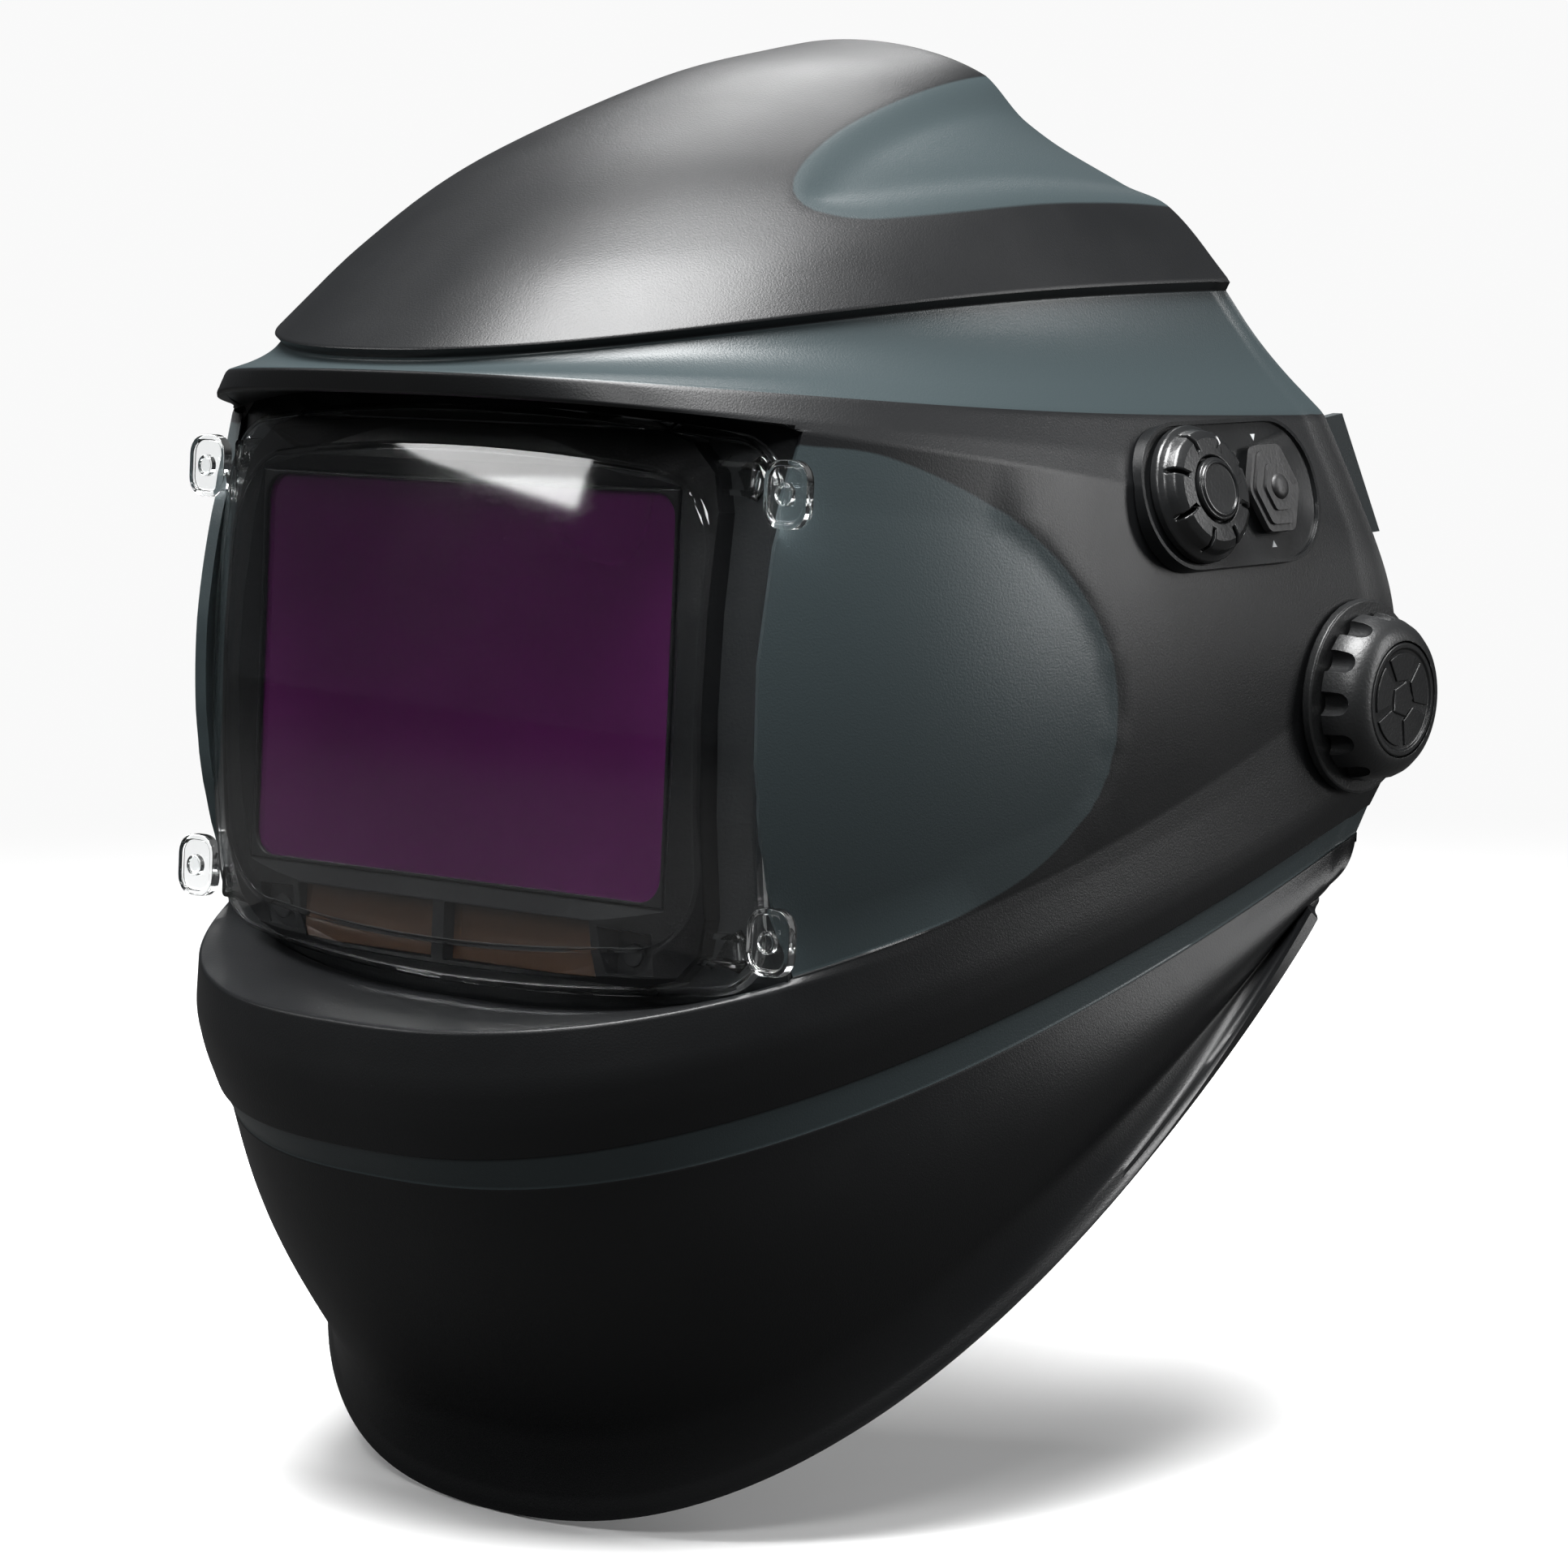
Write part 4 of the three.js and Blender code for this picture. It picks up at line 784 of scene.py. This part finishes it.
edit_whole(
    mask,
    (bpy.ops.mesh.remove_doubles, {"threshold": 0.001 * MM}),
    (bpy.ops.mesh.normals_make_consistent, {"inside": False}),
)
mask.data.transform(filter_frame)
round_edges(mask, 0.4, 2, 40)
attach(mask, "shell_unit")
give(mask, housing_finish)


def set_ramp(node, *stops):
    for element, (position, color) in zip(node.color_ramp.elements, stops):
        element.position, element.color = position, color


filter_finish, tree, surface = new_material("purple_shutter_glass")
place = add_node(tree, "TexCoord")
cloud = add_node(tree, "TexNoise", {"Scale": 9.0, "Detail": 2.0})
shade = add_node(tree, "ValToRGB")
set_ramp(shade, (0.3, (0.026, 0.0028, 0.0235, 1)), (0.75, (0.040, 0.0045, 0.0365, 1)))
film = add_node(tree, "MapRange", {"To Min": 0.06, "To Max": 0.12})
link_nodes(
    tree,
    (place.outputs["Object"], cloud.inputs["Vector"]),
    (cloud.outputs["Fac"], shade.inputs["Fac"]),
    (shade.outputs["Color"], surface.inputs["Base Color"]),
    (cloud.outputs["Fac"], film.inputs["Value"]),
    (film.outputs["Result"], surface.inputs["Roughness"]),
)
set_inputs(surface, {"Coat Weight": 0.4, "Coat Roughness": 0.03})
give(refined("filter_glass", 0.2), filter_finish)

cell_finish, tree, surface = new_material("amorphous_solar_cell")
place = add_node(tree, "TexCoord")
fingers = add_node(tree, "TexWave", {"Scale": 160.0}, bands_direction="X")
split = add_node(tree, "ValToRGB")
set_ramp(split, (0.05, (0.030, 0.0150, 0.0075, 1)), (0.12, (0.019, 0.0088, 0.0042, 1)))
link_nodes(
    tree,
    (place.outputs["Object"], fingers.inputs["Vector"]),
    (fingers.outputs["Fac"], split.inputs["Fac"]),
    (split.outputs["Color"], surface.inputs["Base Color"]),
)
set_inputs(surface, {"Roughness": 0.18, "Coat Weight": 0.6})
for side in ("left", "right"):
    give(refined(f"solar_cell_{side}", 0.25), cell_finish)

board_finish, tree, surface = new_material("green_circuit_board")
place = add_node(tree, "TexCoord")
tracks = add_node(
    tree,
    "TexBrick",
    {
        "Color1": (0.008, 0.075, 0.030, 1),
        "Color2": (0.010, 0.095, 0.038, 1),
        "Mortar": (0.045, 0.17, 0.075, 1),
        "Scale": 180.0,
        "Mortar Size": 0.06,
    },
)
link_nodes(
    tree,
    (place.outputs["Object"], tracks.inputs["Vector"]),
    (tracks.outputs["Color"], surface.inputs["Base Color"]),
)
surface.inputs["Roughness"].default_value = 0.35
give(refined("filter_board", 0.15), board_finish)
give(refined("control_board", 0.15), board_finish)
give(refined("inner_cover_plate", 0.2), clear_finish)


def brushed_metal(name, color, low, high, stretch):
    """Turned or rolled metal: fine scratches that follow one direction."""
    material, tree, surface = new_material(name)
    place = add_node(tree, "TexCoord")
    pull = add_node(tree, "Mapping", {"Scale": stretch})
    scratch = add_node(tree, "TexNoise", {"Scale": 420.0, "Detail": 3.0})
    gloss = add_node(tree, "MapRange", {"To Min": low, "To Max": high})
    marks = add_node(tree, "Group", node_tree=rubbed)
    tint = add_node(tree, "Mix", {"A": (*color, 1), "B": (*[c * 0.72 for c in color], 1)}, data_type="RGBA")
    link_nodes(
        tree,
        (place.outputs["Object"], pull.inputs["Vector"]),
        (pull.outputs["Vector"], scratch.inputs["Vector"]),
        (scratch.outputs["Fac"], gloss.inputs["Value"]),
        (gloss.outputs["Result"], surface.inputs["Roughness"]),
        (marks.outputs["Mask"], tint.inputs["Factor"]),
        (tint.outputs["Result"], surface.inputs["Base Color"]),
    )
    surface.inputs["Metallic"].default_value = 1.0
    return material


nickel = brushed_metal("nickel_plated_steel", (0.62, 0.61, 0.58), 0.18, 0.38, (1, 1, 6))
zinc = brushed_metal("zinc_plated_steel", (0.50, 0.51, 0.52), 0.28, 0.5, (4, 1, 1))
for side in ("left", "right"):
    give(refined(f"coin_cell_{side}", 0.25), nickel)

# ------------------------------------------------
# Control panel. A black oval bezel with a raised rim is clipped into the left side. It carries a lobed dial
# with a push cap and a stepped hexagonal rubber button, and its marks are printed in white.
# ------------------------------------------------
panel_out = Vector((0.966978, -0.010890, 0.254626))
panel_rear = Vector((0.011261, 0.999937, 0.0))
panel_up = Vector((-0.254610, 0.002867, 0.967040))
PANEL_CENTRE = Vector((109.3707, -45.0, 47.3))
PANEL_SEAT, DIAL_ALONG, BUTTON_ALONG = 1.4, -14.5, 12.5
panel_frame = Matrix.Translation(PANEL_CENTRE * MM) @ Matrix(
    [[panel_out[i], panel_rear[i], panel_up[i], 0] for i in range(3)] + [[0, 0, 0, 1]]
)
bezel_finish = moulded(
    "gloss_black_bezel", (0.008, 0.0085, 0.009), (0.012, 0.0125, 0.013), 1600.0, 0.06, 0.2, 0.3
)[0]
dial_finish = moulded(
    "satin_black_dial", (0.010, 0.0105, 0.011), (0.018, 0.0185, 0.019), 1500.0, 0.1, 0.24, 0.34
)[0]
button_finish = moulded(
    "black_button_rubber", (0.013, 0.013, 0.0135), (0.02, 0.02, 0.02), 1200.0, 0.2, 0.4, 0.52
)[0]
give(refined("control_bezel", 0.35, 3), bezel_finish)
give(refined("mode_dial", 0.45, 3, 28), dial_finish)
give(refined("mode_dial_cap", 0.35, 3), bezel_finish)
give(refined("dial_sleeve", 0.15), zinc)
give(refined("grind_button", 0.3, 3), button_finish)
give(refined("control_cover", 0.5, 3), shell_finish)
for node in ("dial_switch", "button_switch"):
    give(refined(node, 0.3), housing_finish)


def turned(name, steps, sides):
    """A round piece from its (radius, height) steps in millimetres, about Z, extruded ring by ring."""
    bpy.ops.object.select_all(action="DESELECT")
    bpy.ops.mesh.primitive_circle_add(vertices=sides, radius=steps[0][0] * MM, fill_type="NGON")
    piece = bpy.context.object
    piece.name = name
    piece.data.transform(Matrix.Translation((0, 0, steps[0][1] * MM)))
    bpy.ops.object.mode_set(mode="EDIT")
    bpy.ops.mesh.select_all(action="SELECT")
    for (r0, h0), (r1, h1) in zip(steps, steps[1:]):
        bpy.ops.mesh.extrude_region_move(TRANSFORM_OT_translate={"value": (0, 0, (h1 - h0) * MM)})
        bpy.ops.transform.resize(value=(r1 / r0, r1 / r0, 1), center_override=(0, 0, h1 * MM))
    bpy.ops.mesh.select_all(action="SELECT")
    bpy.ops.mesh.normals_make_consistent(inside=False)
    bpy.ops.object.mode_set(mode="OBJECT")
    return piece


def stand(piece, frame_matrix, along):
    """Turns a piece made about Z so that Z looks along the frame's X, and sets it in place."""
    upright = Matrix(((0, 0, 1, 0), (0, 1, 0, 0), (-1, 0, 0, 0), (0, 0, 0, 1)))
    piece.data.transform(frame_matrix @ Matrix.Translation([a * MM for a in along]) @ upright)
    return piece


# A raised ring on the dial's cap, and the button's middle dome.
CAP_TOP, BUTTON_TOP = 9.2, 5.8  # how far the cap and the button stand out from the shell
ring_steps = [(6.3, 0), (6.2, 0.25), (5.95, 0.42), (5.6, 0.42), (5.3, 0.12), (4.0, 0.1), (1.5, 0.1)]
ring_piece = turned("dial_cap_ring", ring_steps, 64)
stand(ring_piece, panel_frame, (CAP_TOP, DIAL_ALONG, 0))
smooth(ring_piece, 40)
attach(ring_piece, "dial_button")
give(ring_piece, bezel_finish)
dome_steps = [(2.9, 0), (2.9, 0.1), (2.75, 0.45), (2.3, 0.8), (1.5, 1.0), (0.6, 1.08)]
dome = turned("button_dome", dome_steps, 40)
stand(dome, panel_frame, (BUTTON_TOP - 0.05, BUTTON_ALONG, 0))
smooth(dome, 50)
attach(dome, "side_button")
give(dome, button_finish)

mark_pieces = []


def ink(piece, y, z):
    piece.data.transform(panel_frame @ Matrix.Translation((PANEL_SEAT * MM, y * MM, z * MM)))
    mark_pieces.append(piece)


INK = 0.06
for z, upright in ((8.3, False), (-8.3, True)):
    bpy.ops.object.select_all(action="DESELECT")
    bpy.ops.mesh.primitive_torus_add(
        major_radius=1.15 * MM, minor_radius=0.14 * MM, major_segments=40, minor_segments=8
    )
    loop = bpy.context.object
    loop.data.transform(Matrix.Diagonal((INK / 0.14, 1, 1, 1)) @ Matrix.Rotation(math.pi / 2, 4, "Y"))
    ink(loop, 1.2, z)
    ink(add_block("bar", (2 * INK, 1.3, 0.26), (0, 0, 0), 0.1, "X", 2), 1.2, z)
    if upright:
        ink(add_block("bar", (2 * INK, 0.26, 1.3), (0, 0, 0), 0.1, "X", 2), 1.2, z)
for z, way in ((12.2, -1), (-12.2, 1)):
    bpy.ops.object.select_all(action="DESELECT")
    bpy.ops.mesh.primitive_cylinder_add(vertices=3, radius=1.0 * MM, depth=2 * INK * MM)
    arrow = bpy.context.object
    arrow.data.transform(Matrix.Rotation(math.pi / 2, 4, "Y"))
    tip = max((v.co for v in arrow.data.vertices), key=lambda c: c.length)
    arrow.data.transform(Matrix.Rotation(-math.atan2(tip.y, tip.z), 4, "X").inverted())
    if way < 0:
        arrow.data.transform(Matrix.Rotation(math.pi, 4, "X"))
    ink(arrow, BUTTON_ALONG, z)
marks_piece = join_pieces("control_marks", mark_pieces)
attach(marks_piece, "shell_unit")
ink_finish = moulded("white_pad_print", (0.62, 0.64, 0.65), (0.45, 0.46, 0.47), 1500.0, 0.05, 0.45, 0.55)[0]
give(marks_piece, ink_finish)

# ------------------------------------------------
# Pivots. Each side has a moulded washer outside the shell, a fluted hand knob with a five-part cap, a zinc
# plated bolt through the wall, and a block that slides in the harness arm's slot.
# ------------------------------------------------
knob_finish = moulded(
    "black_knob_nylon", (0.012, 0.0125, 0.013), (0.022, 0.0225, 0.023), 1300.0, 0.18, 0.3, 0.42
)[0]
KNOB_RINGS = [(18.6, 0), (19, 0.3), (19, 1.2), (18.7, 3.4), (18.1, 5.6), (17.2, 7.4), (15.9, 8.8),
              (14.4, 9.6), (13.3, 9.8), (5, 9.8)]
KNOB_FLUTES, FLUTE_MIDDLE = 12, 19.4
FLUTE_RINGS = [(2.75, -0.5), (2.75, 4.6), (2.6, 5.5), (2.2, 6.3), (1.6, 6.9), (0.8, 7.25), (0.1, 7.35)]
PAD_REACH, PAD_SPREAD = 10.5, 0.52  # how far the five pads reach, and half the angle of each
CAP_RINGS = [(12.9, -1.6), (12.9, -0.3), (12.6, 0), (11.6, 0), (11.3, -0.45), (10.9, -0.5)]
for side, sign in (("left", 1), ("right", -1)):
    give(refined(f"pivot_washer_{side}", 0.6, 3), knob_finish)
    facing = Matrix.Identity(4) if sign > 0 else Matrix.Rotation(math.pi, 4, "Z")
    foot = min(abs(corner[0]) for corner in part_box(f"tension_knob_{side}")) / MM
    knob = turned(f"tension_knob_grip_{side}", KNOB_RINGS, 96)
    for k in range(KNOB_FLUTES):
        angle = k * 2 * math.pi / KNOB_FLUTES
        flute = turned("flute", FLUTE_RINGS, 24)
        out = Vector((math.cos(angle), math.sin(angle), 0)) * FLUTE_MIDDLE * MM
        flute.data.transform(Matrix.Translation(out))
        bore(knob, flute)
    bore(knob, cutter_rod(4.4 * MM, (0, 0, -0.001), (0, 0, 0.012)))
    bore(knob, cutter_rod(13.2 * MM, (0, 0, 0.0077), (0, 0, 0.012), 72))
    round_edges(knob, 0.4, 3, 32)
    stand(knob, facing, (foot, 0, 0))
    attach(knob, f"knob_{side}")
    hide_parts(f"tension_knob_{side}")
    give(knob, knob_finish)
    low, high = (np.array(c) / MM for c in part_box(f"tension_knob_cap_{side}"))
    top = (high if sign > 0 else -low)[0]
    parts = [turned("cap", CAP_RINGS, 72)]
    parts.append(turned("pentagon", [(4.3, -0.6), (4.3, -0.2), (4.0, 0.0)], 5))
    for k in range(5):
        middle = math.pi / 5 + k * 2 * math.pi / 5
        near = 4.3 * math.cos(math.pi / 5) + 0.75
        spread = np.linspace(-PAD_SPREAD, PAD_SPREAD, 11)
        outer = [(PAD_REACH * math.cos(middle + a), PAD_REACH * math.sin(middle + a)) for a in spread]
        width = near * math.tan(PAD_SPREAD) * 0.98
        u, v = (math.cos(middle), math.sin(middle)), (-math.sin(middle), math.cos(middle))
        inner = [(near * u[0] + w * v[0], near * u[1] + w * v[1]) for w in (width, -width)]
        loop = outer + inner
        count = len(loop)
        pts = [(x * MM, y * MM, z * MM) for z in (-0.6, -0.08) for x, y in loop]
        sides = [(i, (i + 1) % count, count + (i + 1) % count, count + i) for i in range(count)]
        ends = [tuple(range(count))[::-1], tuple(range(count, 2 * count))]
        parts.append(mesh_piece("pad", pts, sides + ends))
    for part in parts:
        round_edges(part, 0.18, 2, 35)
    cap = join_pieces(f"knob_cap_{side}", parts)
    stand(cap, facing, (top, 0, 0))
    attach(cap, f"knob_{side}")
    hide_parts(f"tension_knob_cap_{side}")
    give(cap, dial_finish)
    give(refined(f"pivot_bolt_{side}", 0.4), zinc)
    give(refined(f"slider_block_{side}", 0.5, 3), knob_finish)

# ------------------------------------------------
# Head harness. Bands, arms and crown straps are flexible black polypropylene strips, pegged at the crown. The
# cradle behind is drawn in by a rack and pinion in a small housing, turned by a ribbed rubber knob.
# ------------------------------------------------
strap_finish = moulded(
    "black_polypropylene_band", (0.016, 0.0165, 0.017), (0.028, 0.029, 0.03), 900.0, 0.2, 0.38, 0.5
)[0]
for node in ("headband", "pivot_arm_left", "pivot_arm_right", "crown_strap_left", "crown_strap_right",
             "rear_cradle", "ratchet_rack_upper", "ratchet_rack_lower"):
    give(refined(node, 0.35, 2, 40), strap_finish)
give(refined("crown_peg", 0.35, 3), knob_finish)
give(refined("ratchet_housing", 1.2, 4), knob_finish)
give(refined("ratchet_pinion", 0.2), knob_finish)
give(refined("ratchet_knob", 0.8, 3, 28), button_finish)

# ------------------------------------------------
# Pads. A foam sweatband covered in knitted cotton lines the headband's front, and a smaller pad of the same
# make lines the cradle. Both are soft and swell a little between their edges.
# ------------------------------------------------


def puffed(node, name, body, pull_in, most):
    """Inflates a copy of a CAD pad by cloth simulation, and keeps its outer side against its band."""
    piece = bpy.data.objects.new(name, nodes[node].data.copy())
    scene.collection.objects.link(piece)
    piece.data.materials.clear()
    edit_whole(piece, (bpy.ops.mesh.remove_doubles, {"threshold": 0.02 * MM}))
    remesh = piece.modifiers.new("remesh", "REMESH")
    remesh.mode = "VOXEL"
    remesh.voxel_size = 3.0 * MM
    apply_all(piece)
    rest = np.array([v.co for v in piece.data.vertices])
    normals = np.array([v.normal for v in piece.data.vertices])
    rest = rest - normals * pull_in * MM
    for v, co in zip(piece.data.vertices, rest):
        v.co = co
    moved = rest
    cloth = piece.modifiers.new("cloth", "CLOTH")
    cloth.settings.use_pressure = True
    cloth.settings.uniform_pressure_force = 4
    cloth.settings.effector_weights.gravity = 0
    cloth.settings.quality = 5
    for number in range(1, 21):
        scene.frame_set(number)
    ready = piece.evaluated_get(bpy.context.evaluated_depsgraph_get())
    moved = np.array([v.co for v in ready.data.vertices])
    piece.modifiers.remove(cloth)
    scene.frame_set(1)
    shift = moved - rest
    middle = np.array([0, rest[:, 1].mean(), rest[:, 2].mean()])
    to_band = rest - middle
    to_band[:, 2] = 0
    to_band /= np.linalg.norm(to_band, axis=1, keepdims=True)
    faces_band = np.clip((normals * to_band).sum(1), 0, 1)[:, None]
    length = np.maximum(np.linalg.norm(shift, axis=1, keepdims=True), 1e-9)
    limit = (most * (1 - faces_band) + 0.15 * faces_band) * MM
    shift *= np.minimum(1, limit / length)
    for v, co in zip(piece.data.vertices, rest + shift):
        v.co = co
    finer = piece.modifiers.new("finer", "SUBSURF")
    finer.levels = finer.render_levels = 1
    apply_all(piece)
    smooth(piece, 80)
    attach(piece, body)
    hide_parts(node)
    return piece


sweatband = puffed("sweatband", "sweatband_pad", "harness", 0.9, 2.6)
rear_pad = puffed("rear_pad", "rear_cradle_pad", "rear_unit", 0.8, 2.2)

# Knitted loops: one height from the loops and fuzz drives the bump, and as Shade it also paints the hollows
# between the loops darker, as painted shade.
knit, knit_in, knit_out = node_group(
    "knitted_loops", [("Size", 700.0), ("Depth", 0.6)], [("Normal", "Vector"), ("Shade", "Float")]
)
place = add_node(knit, "TexCoord")
loops = add_node(knit, "TexVoronoi")
fuzz = add_node(knit, "TexNoise", {"Scale": 160.0, "Detail": 5.0})
both = add_node(knit, "Math", operation="ADD")
raise_loops = add_node(knit, "Bump", {"Distance": 0.0006})
link_nodes(
    knit,
    (place.outputs["Object"], loops.inputs["Vector"]),
    (place.outputs["Object"], fuzz.inputs["Vector"]),
    (knit_in.outputs["Size"], loops.inputs["Scale"]),
    (knit_in.outputs["Depth"], raise_loops.inputs["Strength"]),
    (loops.outputs["Distance"], both.inputs[0]),
    (fuzz.outputs["Fac"], both.inputs[1]),
    (both.outputs["Value"], raise_loops.inputs["Height"]),
    (raise_loops.outputs["Normal"], knit_out.inputs["Normal"]),
    (both.outputs["Value"], knit_out.inputs["Shade"]),
)
foam_finish, tree, surface = new_material("black_knitted_cotton")
yarn = add_node(tree, "Group", node_tree=knit)
# Painted shade: the colour follows the loops' height, darker in the hollows between them and lighter on their
# raised tops.
painted_loop_shade = add_node(tree, "ValToRGB")
set_ramp(painted_loop_shade, (0.45, (0.010, 0.010, 0.011, 1)), (1.0, (0.038, 0.038, 0.040, 1)))
link_nodes(
    tree,
    (yarn.outputs["Shade"], painted_loop_shade.inputs["Fac"]),
    (painted_loop_shade.outputs["Color"], surface.inputs["Base Color"]),
    (yarn.outputs["Normal"], surface.inputs["Normal"]),
)
set_inputs(surface, {"Roughness": 0.92, "Sheen Weight": 0.35, "Sheen Roughness": 0.5})
for piece in (sweatband, rear_pad):
    give(piece, foam_finish)

# ------------------------------------------------
# Camera, lights and floor. A broad soft box hangs above, a strip stands behind the wearer's left, and weak
# boxes fill from behind, from the right and from the front. Floor and background are pale where they are seen
# straight or through clear plastic, and dim in reflections.
# ------------------------------------------------
camera_data = bpy.data.cameras.new("camera")
camera_data.sensor_width = 36
camera_data.lens = 101.5
camera_data.clip_end = 20
camera = bpy.data.objects.new("camera", camera_data)
camera.location = (0.658693, -0.841148, 0.104733)
AZIMUTH, ELEVATION = math.radians(40.303), math.radians(7.162)
camera.rotation_euler = (math.pi / 2 - ELEVATION, 0, AZIMUTH)
scene.collection.objects.link(camera)
scene.camera = camera


def soft_box(name, place, aim, width, height, power):
    light = bpy.data.lights.new(name, "AREA")
    light.shape = "RECTANGLE"
    light.size, light.size_y = width, height
    light.energy = power
    lamp = bpy.data.objects.new(name, light)
    lamp.location = place
    lamp.rotation_euler = (Vector(aim) - Vector(place)).to_track_quat("-Z", "Y").to_euler()
    scene.collection.objects.link(lamp)


soft_box("top_box", (0.12, -0.35, 1.35), (0, -0.1, 0.05), 1.0, 0.8, 78)
soft_box("side_strip", (1.3, 0.85, 0.5), (0.1, -0.05, 0.0), 0.3, 1.1, 14)
soft_box("back_box", (-0.7, 0.8, 1.1), (0, -0.05, 0.1), 0.6, 0.6, 7)
soft_box("left_box", (-1.0, -1.3, 0.62), (0, -0.2, 0.04), 0.8, 0.28, 7)
soft_box("front_strip", (0.75, -1.6, 1.2), (0, -0.15, -0.05), 0.7, 0.3, 12)


def seen_straight(tree, allowed):
    """1 on what the camera sees, straight or through clear plastic, and 0 on what a reflection shows."""
    rays = add_node(tree, "LightPath")
    compare = add_node(tree, "Math", {2: allowed}, operation="COMPARE")
    for i, label in enumerate(("Ray Depth", "Transmission Depth")):
        tree.links.new(rays.outputs[label], compare.inputs[i])
    return compare.outputs["Value"]


bpy.ops.object.select_all(action="DESELECT")
bpy.ops.mesh.primitive_plane_add(size=8, location=(0, 0, float(cad_box[0][2]) - 0.0005))
floor = bpy.context.object
floor.name = "floor"
floor_finish, tree, surface = new_material("pale_paper")
set_inputs(surface, {"Base Color": (0.82, 0.82, 0.82, 1), "Roughness": 0.9})
place = add_node(tree, "TexCoord")
away = add_node(tree, "VectorMath", operation="LENGTH")
fade = add_node(tree, "MapRange", {"From Min": 0.25, "From Max": 1.1}, interpolation_type="SMOOTHSTEP")
glow = add_node(tree, "Emission", {"Color": (0.95, 0.95, 0.95, 1)})
straight = seen_straight(tree, 0.5)
seen_far = add_node(tree, "Math", operation="MULTIPLY")
blend_floor = add_node(tree, "MixShader")
paper = add_node(tree, "Mix", {"A": (0.02, 0.02, 0.02, 1), "B": (0.84, 0.84, 0.84, 1)}, data_type="RGBA")
link_nodes(
    tree,
    (straight, paper.inputs["Factor"]),
    (paper.outputs["Result"], surface.inputs["Base Color"]),
    (place.outputs["Object"], away.inputs[0]),
    (away.outputs["Value"], fade.inputs["Value"]),
    (fade.outputs["Result"], seen_far.inputs[0]),
    (straight, seen_far.inputs[1]),
    (seen_far.outputs["Value"], blend_floor.inputs["Fac"]),
    (surface.outputs["BSDF"], blend_floor.inputs[1]),
    (glow.outputs["Emission"], blend_floor.inputs[2]),
    (blend_floor.outputs["Shader"], tree.nodes["Material Output"].inputs["Surface"]),
)
give(floor, floor_finish)
world = bpy.data.worlds.new("studio")
world.use_nodes = True
air = world.node_tree
dim = air.nodes["Background"]
set_inputs(dim, {"Color": (0.9, 0.95, 1.0, 1), "Strength": 0.035})
seen = add_node(air, "Background", {"Color": (0.95, 0.95, 0.95, 1)})
straight = seen_straight(air, 1.5)  # a background counts as one bounce further
which = add_node(air, "MixShader")
link_nodes(
    air,
    (straight, which.inputs["Fac"]),
    (dim.outputs["Background"], which.inputs[1]),
    (seen.outputs["Background"], which.inputs[2]),
    (which.outputs["Shader"], air.nodes["World Output"].inputs["Surface"]),
)
scene.world = world
scene.view_settings.view_transform = "Standard"
